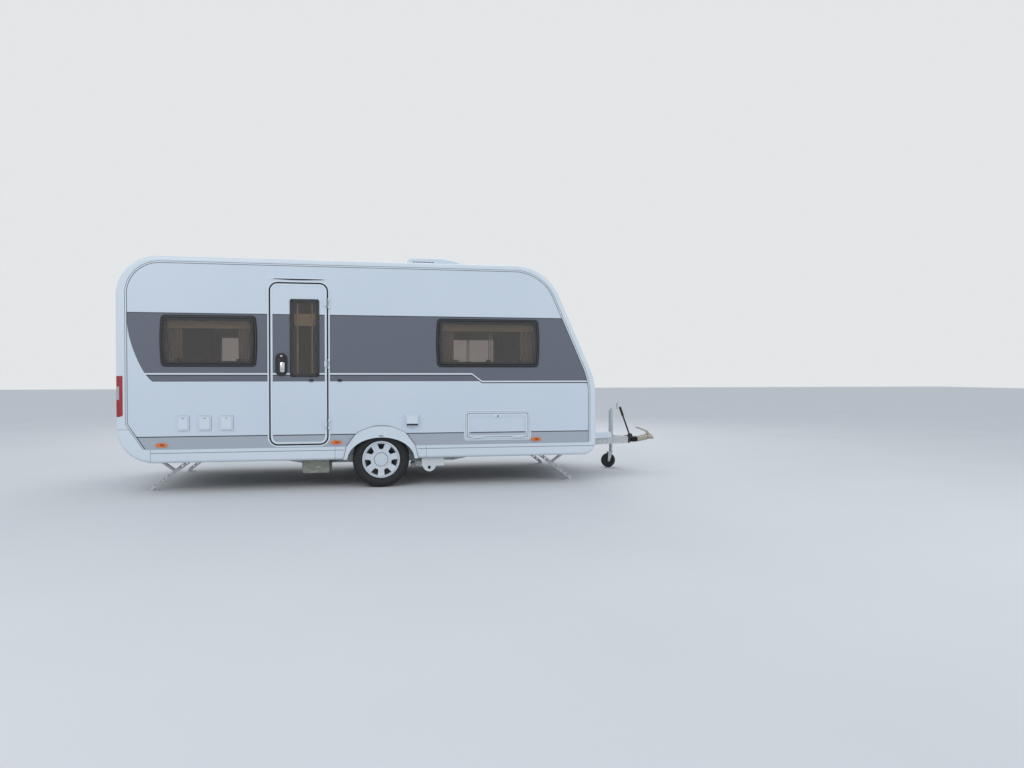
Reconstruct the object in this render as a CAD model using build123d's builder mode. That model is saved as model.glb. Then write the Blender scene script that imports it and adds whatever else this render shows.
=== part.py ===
"""Single-axle travel caravan, parked on its wheels, jockey wheel and corner steadies.

Millimetres, +X towards the drawbar, +Y to the left side, +Z up, origin on the ground
under the middle of the whole length. The entrance door is on the right side (-Y).
"""
from build123d import *
from math import cos, radians, sin, sqrt, tan
import os

# Body outline, seen from the side
rear_x = -3310
body_front_x = 2120
half_width = 1150
roof_z = 2620
skirt_low_z = 340
wall_low_z = 490
rear_radius = 440
front_radius = 600
front_arc_x = 1109
front_slope = 66
nose_blend = 180
rear_low_radius = 390
front_low_radius = 160

# Wall build-up
panel = 34
wall_proud = 4
trim_wrap = 60
trim_top = 72
trim_rear = 115
trim_front = 95
corner_top_z = 775
corner_reach = 292
wall_y = half_width - wall_proud
inner_y = wall_y - panel
shell_inset = 3
wall_in = 40
edge_round = 34
floor_thick = 44
floor_z = wall_low_z + floor_thick
lining_z = roof_z - shell_inset - panel

# Axle and wheels
axle_x = -470
wheel_z = 327
tyre_radius = 327
tyre_width = 195
rim_radius = 192
wheel_y = half_width - 150
spoke_count = 7
tyre_front_gap = 24

# Wheel arch
arch_half_length = 385
arch_half_height = 262
arch_z = 328
wheel_box_radius = 380
wheel_box_y = half_width - 308
sheet = 8
fit = 0.3

# Entrance door
door_rear_x = -1695
door_front_x = -1077
door_low_z = 530
door_top_z = 2345
door_gap = 9
door_frame = 20
door_corner = 80
door_hinge_out = 22
door_hinge_radius = 9
hinge_half = 30

# Service hatch on the right side
hatch_x = 900
hatch_z = 715
hatch_length = 730
hatch_height = 276
hatch_gap = 6
hatch_frame = 34

# Gas locker lid on the front
lid_low_z = 560
lid_top_z = 1030
lid_half_width = half_width - 390
lid_gap = 7

# Windows: pane overlap, frame flange and corner radius
frame_flange = 28
frame_in = 45
pane_lap = 2
frame_neck = 14
pane_proud = 22
window_corner = 40
window_bow = 16
door_window_corner = 24

# Corner steadies: strut and upper leg are equally long, so the leg's top runs level
steady_y = half_width - 300
steady_pivot_z = 420
steady_angle = 37
strut_length = 338
foot_pin_z = 28
leg_width = 60
leg_height = 40
leg_wall = 4
cheek_y = 40
strap_y = 15
strap = 6
steady_pin = 6
spindle_radius = 8
steady_travel = 35
front_foot_x = 1870
rear_foot_x = -3026

# Chassis
member_y = 500
member_thick = 6
member_flange = 50
beam_front_x = 2900
beam_rear_y = 474
beam_front_y = 75
beam_width = 62
beam_low_z = 370
beam_top_z = 460
member_front_x = 1500
drawbar_z = 415
ball_x = beam_front_x + 350
ball_radius = 25.5
ball_z = 440
ball_mouth_z = 415
shaft_radius = 24
jockey_x = beam_front_x - 140
jockey_y = 222
jockey_tube_radius = 30
jockey_stem_radius = 24
jockey_wheel_radius = 100
jockey_trail = 40

os.makedirs("parts", exist_ok=True)


def save(piece, name):
    """Label a finished piece and write it to its own file."""
    piece.label = name
    export_step(piece, "parts/" + name + ".step")


def body_outline(rear_in=0.0, top_in=0.0, front_in=0.0, low_z=skirt_low_z, high_z=roof_z):
    """Side view of the body as a face in the XZ plane, moved in from each edge."""
    rear = rear_x + rear_in
    top = roof_z - top_in
    front = body_front_x - front_in
    low = skirt_low_z + min(top_in, front_in)
    rear_arc = rear_radius - (rear_in + top_in) / 2
    front_arc = front_radius - (front_in + top_in) / 2
    low_rear_arc = rear_low_radius - rear_in
    low_front_arc = front_low_radius - front_in
    slope = radians(front_slope)
    arc_z = top - front_arc
    slope_start = (front_arc_x + front_arc * sin(slope), arc_z + front_arc * cos(slope))
    kink_z = slope_start[1] - (front - slope_start[0]) * tan(slope)
    blend_top = (front - nose_blend * cos(slope), kink_z + nose_blend * sin(slope))
    blend_low = (front, kink_z - nose_blend)
    arc_mid = (front_arc_x + front_arc * sin(slope / 2), arc_z + front_arc * cos(slope / 2))
    with BuildSketch(Plane.XZ, mode=Mode.PRIVATE) as face:
        with BuildLine():
            Line((rear + low_rear_arc, low), (front - low_front_arc, low))
            RadiusArc((front - low_front_arc, low), (front, low + low_front_arc), -low_front_arc)
            Line((front, low + low_front_arc), blend_low)
            TangentArc(blend_low, blend_top, tangent=(0, 1))
            Line(blend_top, slope_start)
            ThreePointArc(slope_start, arc_mid, (front_arc_x, top))
            Line((front_arc_x, top), (rear + rear_arc, top))
            RadiusArc((rear + rear_arc, top), (rear, top - rear_arc), -rear_arc)
            Line((rear, top - rear_arc), (rear, low + low_rear_arc))
            RadiusArc((rear, low + low_rear_arc), (rear + low_rear_arc, low), -low_rear_arc)
        make_face()
        with Locations((0, (low_z + high_z) / 2)):
            Rectangle(9000, high_z - low_z, mode=Mode.INTERSECT)
    return face.sketch_local.face()


def shell_band(low_z, high_z, half=inner_y):
    """Curved outer panels of the body between two heights, across the whole width."""
    with BuildPart(mode=Mode.PRIVATE) as band:
        with BuildSketch(Plane.XZ.offset(-half)):
            add(body_outline(shell_inset, shell_inset, shell_inset, low_z, high_z))
            inset = shell_inset + panel
            add(body_outline(inset, inset, inset, low_z, high_z), mode=Mode.SUBTRACT)
        extrude(amount=2 * half)
    return band.part


# Places on the sloping front
slope_angle = radians(front_slope)
slope_top = (front_arc_x + front_radius * sin(slope_angle), roof_z - front_radius * (1 - cos(slope_angle)))
slope_low_z = slope_top[1] - (body_front_x - slope_top[0]) * tan(slope_angle)
slope_length = (slope_top[1] - slope_low_z) / sin(slope_angle)
front_window_at = 0.56 * slope_length
front_window_centre = (
    body_front_x - front_window_at * cos(slope_angle) - shell_inset * sin(slope_angle),
    0,
    slope_low_z + front_window_at * sin(slope_angle) - shell_inset * cos(slope_angle),
)

right_face = Plane((0, -wall_y, 0), x_dir=(1, 0, 0), z_dir=(0, -1, 0))
left_face = Plane((0, wall_y, 0), x_dir=(-1, 0, 0), z_dir=(0, 1, 0))
front_face = Plane(
    front_window_centre, x_dir=(0, 1, 0), z_dir=(sin(slope_angle), 0, cos(slope_angle))
)
rear_face = Plane((rear_x + shell_inset, 0, 0), x_dir=(0, -1, 0), z_dir=(-1, 0, 0))
roof_face = Plane((0, 0, roof_z - shell_inset), x_dir=(1, 0, 0), z_dir=(0, 0, 1))

# Windows: centre along the face, centre up the face, length, height
right_windows = [(-2348, 1690, 1016, 563), (787, 1689, 1232, 561)]
left_windows = [(2348, 1690, 1016, 563), (-787, 1689, 1232, 561)]
front_windows = [(0, 0, 1420, 560)]
rear_windows = [(0, 1700, 1250, 540)]
rooflight = (-2350, 0, 460, 460)


def window_shape(window, inset, corner=window_corner, bow=window_bow):
    """Outline of a window moved in by an inset; its ends bow outwards between rounded corners."""
    along, up, length, height = window
    half_length = length / 2 - inset
    half_height = height / 2 - inset
    corner_x = half_length - bow
    with BuildSketch(mode=Mode.PRIVATE) as shape:
        if bow:
            with BuildLine():
                Line((-corner_x, half_height), (corner_x, half_height))
                ThreePointArc((corner_x, half_height), (half_length, 0), (corner_x, -half_height))
                Line((corner_x, -half_height), (-corner_x, -half_height))
                ThreePointArc((-corner_x, -half_height), (-half_length, 0), (-corner_x, half_height))
            make_face()
        else:
            Rectangle(2 * half_length, 2 * half_height)
        fillet(shape.vertices(), max(corner - inset, 8))
    return shape.sketch.moved(Location((along, up, 0)))


def window_hole(face_plane, window, depth=panel + 4, corner=window_corner, bow=window_bow):
    """Cut a window's hole through the panel behind a face."""
    with BuildPart(mode=Mode.PRIVATE) as hole:
        with BuildSketch(face_plane.offset(1)):
            add(window_shape(window, frame_neck, corner, bow))
        extrude(amount=-depth)
    return hole.part


def window_frame(face_plane, window, flange_proud=8):
    """Flange outside the panel and neck through it."""
    with BuildPart(mode=Mode.PRIVATE) as frame:
        with BuildSketch(face_plane):
            add(window_shape(window, frame_neck))
            add(window_shape(window, frame_in), mode=Mode.SUBTRACT)
        extrude(amount=-panel)
        with BuildSketch(face_plane):
            add(window_shape(window, 0))
            add(window_shape(window, frame_flange - pane_lap), mode=Mode.SUBTRACT)
        extrude(amount=flange_proud)
    return frame.part


def window_pane(face_plane, window):
    """Acrylic pane that lies on the frame's neck and stands proud of the flange."""
    with BuildPart(mode=Mode.PRIVATE) as pane:
        with BuildSketch(face_plane):
            add(window_shape(window, frame_flange))
        extrude(amount=pane_proud)
        outer = pane.faces().filter_by(GeomType.PLANE).sort_by(
            lambda f: (f.center() - face_plane.origin).dot(face_plane.z_dir)
        )[-1]
        fillet(outer.edges(), 7)
    return pane.part


# Side panel with its door, hatch, window and wheel openings
door_x = (door_rear_x + door_front_x) / 2
door_z = (door_low_z + door_top_z) / 2
door_length = door_front_x - door_rear_x
door_height = door_top_z - door_low_z


def side_panel():
    """Plain side panel of the right side, with its wheel arch."""
    with BuildPart(mode=Mode.PRIVATE) as wall:
        with BuildSketch(Plane.XZ.offset(inner_y)):
            add(body_outline(wall_in, wall_in, wall_in, wall_low_z, roof_z))
            with Locations((axle_x, arch_z)):
                Ellipse(arch_half_length, arch_half_height, mode=Mode.SUBTRACT)
        extrude(amount=panel)
    return wall.part


# Roof, rear wall and front wall are one curved skin, split where the panels meet
roof_rear_z = roof_z - rear_radius
lamp_low_z = 856
lamp_top_z = 1302
lamp_inner_y = half_width - 160
lamp_depth = 73
lamp_slant = 45
rear_split_z = 740
bumper_reach = 210
front_split_z = slope_top[1]

with BuildPart() as roof:
    add(shell_band(roof_rear_z, roof_z))
    with BuildSketch(Plane.XZ.offset(-inner_y)):
        with Locations((front_arc_x + front_radius + 200, roof_rear_z)):
            Rectangle(2 * (front_radius + 200), 2 * (front_split_z - roof_rear_z))
    extrude(amount=2 * inner_y, mode=Mode.SUBTRACT)
    add(window_hole(roof_face, rooflight, bow=0), mode=Mode.SUBTRACT)

def beam_y(x):
    """Centre line of a drawbar beam at a given length."""
    share = (x - member_front_x) / (beam_front_x - member_front_x)
    return beam_rear_y + (beam_front_y - beam_rear_y) * share


def drawbar_beam(side, spread=0.0):
    """One beam of the A-frame, widened by a clearance where it is used as a cutter."""
    half = beam_width / 2 + spread
    with BuildPart(mode=Mode.PRIVATE) as beam:
        with BuildSketch(Plane.XY.offset(beam_low_z - 4 * spread)):
            with BuildLine():
                Polyline(
                    (member_front_x + fit, side * (beam_rear_y - half)),
                    (member_front_x + fit, side * (beam_rear_y + half)),
                    (beam_front_x, side * (beam_front_y + half)),
                    (beam_front_x, side * (beam_front_y - half)), close=True,
                )
            make_face()
        extrude(amount=beam_top_z - beam_low_z + 5 * spread)
    return beam.part


hinge_rod = 6
lid_hinge_x = body_front_x + 9
lid_hinge_z = lid_top_z + 5
lid_hinge_half = 45
lid_ear = 24
lid_hinges = [-500, 0, 500]
with BuildPart() as front_wall:
    add(shell_band(skirt_low_z, front_split_z))
    split(bisect_by=Plane.YZ.offset(front_arc_x), keep=Keep.TOP)
    with BuildSketch(Plane.XZ.offset(-inner_y)):
        with Locations((0, skirt_low_z)):
            Rectangle(2 * (body_front_x - front_low_radius), 400)
    extrude(amount=2 * inner_y, mode=Mode.SUBTRACT)
    add(window_hole(front_face, front_windows[0], panel + 6), mode=Mode.SUBTRACT)
    with BuildSketch(Plane.YZ.offset(body_front_x + 1)):
        with Locations((0, (lid_low_z + lid_top_z) / 2)):
            RectangleRounded(
                2 * (lid_half_width + lid_gap), lid_top_z - lid_low_z + 2 * lid_gap, 60 + lid_gap
            )
    extrude(amount=-panel - 6, mode=Mode.SUBTRACT)
    for side in (-1, 1):
        add(drawbar_beam(side, 10), mode=Mode.SUBTRACT)
    for across in lid_hinges:
        for end in (-1, 1):
            ear_y = across + end * (lid_hinge_half + fit) + (end > 0) * lid_ear
            with BuildSketch(Plane.XZ.offset(-ear_y)):
                with Locations((lid_hinge_x, lid_hinge_z)):
                    Circle(hinge_rod)
                with Locations((lid_hinge_x - 5, lid_hinge_z + 16)):
                    Rectangle(20, 34)
            extrude(amount=lid_ear)



def corner_lamp(clearance=0.0):
    """Right rear lamp body: an L in plan that wraps the corner, cut off slanting below."""
    back = rear_x - clearance
    side = -(half_width + 3 + clearance)
    with BuildPart(mode=Mode.PRIVATE) as lamp:
        with BuildSketch(Plane.XY.offset(lamp_low_z - clearance)):
            with BuildLine():
                Polyline(
                    (back, -lamp_inner_y + clearance), (back, side),
                    (rear_x + lamp_depth + clearance, side),
                    (rear_x + lamp_depth + clearance, -inner_y),
                    (rear_x + shell_inset + panel, -inner_y),
                    (rear_x + shell_inset + panel, -lamp_inner_y + clearance),
                    close=True,
                )
            make_face()
        extrude(amount=lamp_top_z - lamp_low_z + 2 * clearance)
        corner = lamp.edges().filter_by(Axis.Z).sort_by(lambda e: e.center().X + e.center().Y)[0]
        fillet(corner, edge_round)
        slant = (
            (rear_x - 50, lamp_low_z - 50), (rear_x + lamp_depth + 50, lamp_low_z - 50),
            (rear_x + lamp_depth + 50, lamp_low_z + lamp_slant - clearance),
            (rear_x + lamp_slant, lamp_low_z - clearance), (rear_x - 50, lamp_low_z - clearance),
        )
        with BuildSketch(Plane.XZ):
            with BuildLine():
                Polyline(*slant, close=True)
            make_face()
        extrude(amount=2 * half_width, mode=Mode.SUBTRACT)
    return lamp.part


lamp_space_right = corner_lamp(fit)
lamp_space_left = mirror(lamp_space_right, Plane.XZ)

with BuildPart() as wall_right:
    add(side_panel())
    for window in right_windows:
        add(window_hole(right_face, window), mode=Mode.SUBTRACT)
    with BuildSketch(right_face.offset(1)):
        with Locations((door_x, door_z)):
            RectangleRounded(
                door_length + 2 * door_frame, door_height + 2 * door_frame,
                door_corner + door_frame,
            )
        with Locations((door_x, wall_low_z)):
            Rectangle(door_length + 2 * door_frame, 2 * (door_low_z - wall_low_z) + 120)
    extrude(amount=-panel - 2, mode=Mode.SUBTRACT)
    with BuildSketch(right_face.offset(1)):
        with Locations((hatch_x, hatch_z)):
            RectangleRounded(
                hatch_length + 2 * hatch_frame, hatch_height + 2 * hatch_frame, 30
            )
    extrude(amount=-panel - 2, mode=Mode.SUBTRACT)
    add(lamp_space_right, mode=Mode.SUBTRACT)

with BuildPart() as wall_left:
    add(mirror(side_panel(), Plane.XZ))
    for window in left_windows:
        add(window_hole(left_face, window), mode=Mode.SUBTRACT)
    add(lamp_space_left, mode=Mode.SUBTRACT)

with BuildPart() as rear_wall:
    add(shell_band(rear_split_z, roof_rear_z))
    split(bisect_by=Plane.YZ.offset(rear_x + rear_radius), keep=Keep.BOTTOM)
    add(window_hole(rear_face, rear_windows[0]), mode=Mode.SUBTRACT)
    add(lamp_space_right, mode=Mode.SUBTRACT)
    add(lamp_space_left, mode=Mode.SUBTRACT)
    with BuildSketch(rear_face.offset(1)):
        with Locations((0, 1120)):
            RectangleRounded(580, 170, 20)
    extrude(amount=-9, mode=Mode.SUBTRACT)

with BuildPart() as rear_bumper:
    add(shell_band(skirt_low_z, rear_split_z))
    split(bisect_by=Plane.YZ.offset(rear_x + bumper_reach), keep=Keep.BOTTOM)

# Floor, cut for the wheel boxes
wheel_well_half = sqrt((wheel_box_radius - sheet) ** 2 - (floor_z - wheel_z) ** 2)
with BuildPart() as floor:
    with BuildSketch(Plane.XZ.offset(-inner_y)):
        inset = shell_inset + panel
        add(body_outline(inset, inset, inset, wall_low_z, floor_z))
    extrude(amount=2 * inner_y)
    with BuildSketch(Plane.XY.offset(wall_low_z - 1)):
        for side in (-1, 1):
            with Locations((axle_x, side * ((inner_y + wheel_box_y) / 2 + sheet))):
                Rectangle(2 * wheel_well_half, inner_y - wheel_box_y - 2 * sheet)
    extrude(amount=floor_thick + 2, mode=Mode.SUBTRACT)

with BuildPart() as wheel_box_right:
    with BuildSketch(Plane.XZ.offset(wheel_box_y)):
        with Locations((axle_x, wheel_z)):
            Circle(wheel_box_radius)
        with Locations((axle_x, floor_z + wheel_box_radius)):
            Rectangle(3 * wheel_box_radius, 2 * wheel_box_radius, mode=Mode.INTERSECT)
    extrude(amount=inner_y - wheel_box_y)
    with BuildSketch(Plane.XZ.offset(wheel_box_y + sheet)):
        with Locations((axle_x, wheel_z)):
            Circle(wheel_box_radius - sheet)
    extrude(amount=inner_y - wheel_box_y, mode=Mode.SUBTRACT)
wheel_box_left = mirror(wheel_box_right.part, Plane.XZ)

# Edge moulding round each side, with its rounded outer corner
with BuildPart() as side_slab:
    with BuildSketch(Plane.XZ.offset(half_width - trim_wrap)):
        add(body_outline())
    extrude(amount=trim_wrap)
    outer_side = side_slab.faces().filter_by(Axis.Y).sort_by(Axis.Y)[0]
    fillet(outer_side.outer_wire().edges(), edge_round)

with BuildPart() as edge_moulding_right:
    add(side_slab.part)
    with BuildSketch(Plane.XZ.offset(half_width - trim_wrap)):
        add(body_outline(trim_rear, trim_top, trim_front))
        with BuildLine():
            Polyline(
                (rear_x, corner_top_z), (rear_x + trim_rear, corner_top_z),
                (rear_x + corner_reach, wall_low_z), (rear_x + corner_reach, skirt_low_z),
                (rear_x, skirt_low_z), close=True,
            )
        make_face(mode=Mode.SUBTRACT)
        with Locations((0, (skirt_low_z + wall_low_z) / 2)):
            Rectangle(9000, wall_low_z - skirt_low_z)
    extrude(amount=trim_wrap, mode=Mode.SUBTRACT)
    with BuildSketch(Plane.XZ.offset(inner_y)):
        add(body_outline(wall_in, wall_in, wall_in, wall_low_z, roof_z))
    extrude(amount=panel, mode=Mode.SUBTRACT)
    with BuildSketch(Plane.XZ.offset(half_width - trim_wrap)):
        add(body_outline(shell_inset, shell_inset, shell_inset))
    extrude(amount=inner_y - half_width + trim_wrap, mode=Mode.SUBTRACT)
    add(lamp_space_right, mode=Mode.SUBTRACT)
edge_moulding_left = mirror(edge_moulding_right.part, Plane.XZ)

# Skirts with the wheel arch trims: the trims' outer edge runs up straight to a low crown
arch_trim = 10
arch_foot = (430, skirt_low_z)
arch_knee = (392, wall_low_z)
arch_shoulder = (240, 700)
arch_crown_z = 722
with BuildSketch() as arch_outline:
    with BuildLine():
        Line((-arch_foot[0], arch_foot[1]), (-arch_knee[0], arch_knee[1]))
        Line((-arch_knee[0], arch_knee[1]), (-arch_shoulder[0], arch_shoulder[1]))
        ThreePointArc((-arch_shoulder[0], arch_shoulder[1]), (0, arch_crown_z), arch_shoulder)
        Line(arch_shoulder, arch_knee)
        Line(arch_knee, arch_foot)
        Line(arch_foot, (-arch_foot[0], arch_foot[1]))
    make_face()
    fillet(arch_outline.vertices().group_by(Axis.Y)[-1], 80)
with BuildPart() as skirt_right:
    add(side_slab.part)
    with BuildSketch(Plane.XZ.offset(half_width - trim_wrap)):
        with Locations((0, (wall_low_z + roof_z) / 2 + 50)):
            Rectangle(9000, roof_z - wall_low_z + 100)
    extrude(amount=trim_wrap, mode=Mode.SUBTRACT)
    with BuildSketch(Plane.XZ.offset(half_width - trim_wrap)):
        add(body_outline(shell_inset, shell_inset, shell_inset))
    extrude(amount=inner_y - half_width + trim_wrap, mode=Mode.SUBTRACT)
    with BuildSketch(Plane.XZ.offset(wall_y)):
        with Locations((axle_x, 0)):
            add(arch_outline.sketch)
    extrude(amount=arch_trim)
    with BuildSketch(Plane.XZ.offset(half_width - trim_wrap - 1)):
        with Locations((axle_x, arch_z)):
            Ellipse(arch_half_length, arch_half_height)
    extrude(amount=trim_wrap + 20, mode=Mode.SUBTRACT)
skirt_left = mirror(skirt_right.part, Plane.XZ)

# Window panes
panes_right = Compound([window_pane(right_face, window) for window in right_windows])
panes_left = Compound([window_pane(left_face, window) for window in left_windows])
pane_front = window_pane(front_face, front_windows[0])
pane_rear = window_pane(rear_face, rear_windows[0])

# Entrance door, hinged at its front edge
door_inner_y = inner_y + 5
door_outer_y = wall_y + 3
door_hinge_x = door_front_x + 6
door_hinge_y = wall_y + door_hinge_out
door_face = Plane((0, -door_outer_y, 0), x_dir=(1, 0, 0), z_dir=(0, -1, 0))
door_window_at = (-1322, 1731.5, 324, 883)
door_hinges = [750, 1440, 2130]
door_handle_at = (-1576, 1430)
door_catch_at = (-1250, 1250)
wall_catch_at = (-935, 1250)

with BuildPart() as door_leaf:
    with BuildSketch(Plane.XZ.offset(door_inner_y)):
        with Locations((door_x, door_z)):
            RectangleRounded(door_length, door_height, door_corner)
    extrude(amount=door_outer_y - door_inner_y)
    add(
        window_hole(door_face, door_window_at, corner=door_window_corner, bow=0),
        mode=Mode.SUBTRACT,
    )
    for height in door_hinges:
        with BuildSketch(Plane.XY.offset(height - hinge_half)):
            with Locations((door_hinge_x, -door_hinge_y)):
                Circle(door_hinge_radius)
            with Locations((door_hinge_x - 17, -(door_hinge_y - 5))):
                Rectangle(34, 9)
            with Locations((door_hinge_x - 24, -(door_hinge_y + door_outer_y) / 2)):
                Rectangle(20, door_hinge_y - door_outer_y)
        extrude(amount=2 * hinge_half)

with BuildPart() as door_window:
    along, up, length, height = door_window_at
    with BuildSketch(door_face):
        with Locations((along, up)):
            RectangleRounded(
                length - 2 * frame_neck - 2 * fit, height - 2 * frame_neck - 2 * fit,
                door_window_corner - frame_neck,
            )
    extrude(amount=-(door_outer_y - door_inner_y))
    with BuildSketch(door_face):
        with Locations((along, up)):
            RectangleRounded(length, height, door_window_corner)
    extrude(amount=10)
    outer = door_window.faces().filter_by(Axis.Y).sort_by(Axis.Y)[0]
    fillet(outer.edges(), 6)

with BuildPart() as door_handle:
    with BuildSketch(door_face):
        with Locations(door_handle_at):
            RectangleRounded(130, 259, 62)
    extrude(amount=10)
    with BuildSketch(door_face.offset(10)):
        with Locations((door_handle_at[0] + 12, door_handle_at[1])):
            RectangleRounded(46, 170, 20)
    extrude(amount=14)
    with BuildSketch(door_face):
        with Locations(door_catch_at):
            RectangleRounded(44, 26, 6)
    extrude(amount=12)

# Service hatch, hinged along its lower edge
hatch_hinge_z = hatch_z - hatch_height / 2 - hatch_gap
hatch_hinge_y = wall_y + 12
hatch_hinges = [hatch_x - 240, hatch_x + 240]
with BuildPart() as service_hatch:
    with BuildSketch(Plane.XZ.offset(door_inner_y)):
        with Locations((hatch_x, hatch_z)):
            RectangleRounded(hatch_length, hatch_height, 18)
    extrude(amount=door_outer_y - door_inner_y)
    with BuildSketch(door_face):
        with Locations((hatch_x, hatch_z)):
            RectangleRounded(hatch_length - 60, hatch_height - 60, 12)
            RectangleRounded(hatch_length - 72, hatch_height - 72, 8, mode=Mode.SUBTRACT)
        with Locations((hatch_x, hatch_z + hatch_height / 2 - 30)):
            Circle(19)
    extrude(amount=4)
    for along in hatch_hinges:
        with BuildSketch(Plane.YZ.offset(along - 40)):
            with Locations((-hatch_hinge_y, hatch_hinge_z)):
                Circle(hinge_rod)
            with Locations((-hatch_hinge_y + 1, hatch_hinge_z + 10)):
                Rectangle(8, 20)
            with Locations((-(hatch_hinge_y + door_outer_y) / 2 + 1, hatch_hinge_z + 16)):
                Rectangle(hatch_hinge_y - door_outer_y + 2, 10)
        extrude(amount=80)

# Gas locker lid, hinged along its upper edge
lid_outer_x = body_front_x
lid_inner_x = body_front_x - shell_inset - panel + 3
with BuildPart() as gas_lid:
    with BuildSketch(Plane.YZ.offset(lid_inner_x)):
        with Locations((0, (lid_low_z + lid_top_z) / 2)):
            RectangleRounded(2 * lid_half_width, lid_top_z - lid_low_z, 60)
    extrude(amount=lid_outer_x - lid_inner_x)
    fillet(gas_lid.faces().sort_by(Axis.X)[-1].edges(), 6)
    for side in (-1, 1):
        with BuildSketch(Plane.YZ.offset(lid_outer_x)):
            with Locations((side * (lid_half_width - 150), lid_low_z + 70)):
                RectangleRounded(130, 60, 20)
        extrude(amount=8)
    for across in lid_hinges:
        with BuildSketch(Plane.XZ.offset(-across - lid_hinge_half)):
            with Locations((lid_hinge_x, lid_hinge_z)):
                Circle(hinge_rod)
            with Locations((lid_hinge_x, lid_hinge_z - 15)):
                Rectangle(8, 30)
            with Locations(((lid_hinge_x + lid_outer_x) / 2, lid_hinge_z - 30)):
                Rectangle(lid_hinge_x - lid_outer_x + 8, 16)
        extrude(amount=2 * lid_hinge_half)

# Opening rooflight over the rear seats, hinged along its front edge
light_x, light_y, light_length, light_width = rooflight
light_frame_z = roof_z - shell_inset + 30
light_hinge_x = light_x + light_length / 2 + 22
light_hinge_z = light_frame_z + 6
light_hinges = [-150, 150]
with BuildPart() as roof_hatch:
    with BuildSketch(Plane.XY.offset(light_frame_z + 5)):
        with Locations((light_x, light_y)):
            RectangleRounded(light_length + 30, light_width + 30, 60)
    extrude(amount=42, taper=24)
    for across in light_hinges:
        with BuildSketch(Plane.XZ.offset(-across - 30)):
            with Locations((light_hinge_x, light_hinge_z)):
                Circle(hinge_rod)
            with Locations((light_hinge_x - 15, light_hinge_z + 4)):
                Rectangle(30, 8)
        extrude(amount=60)

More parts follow.
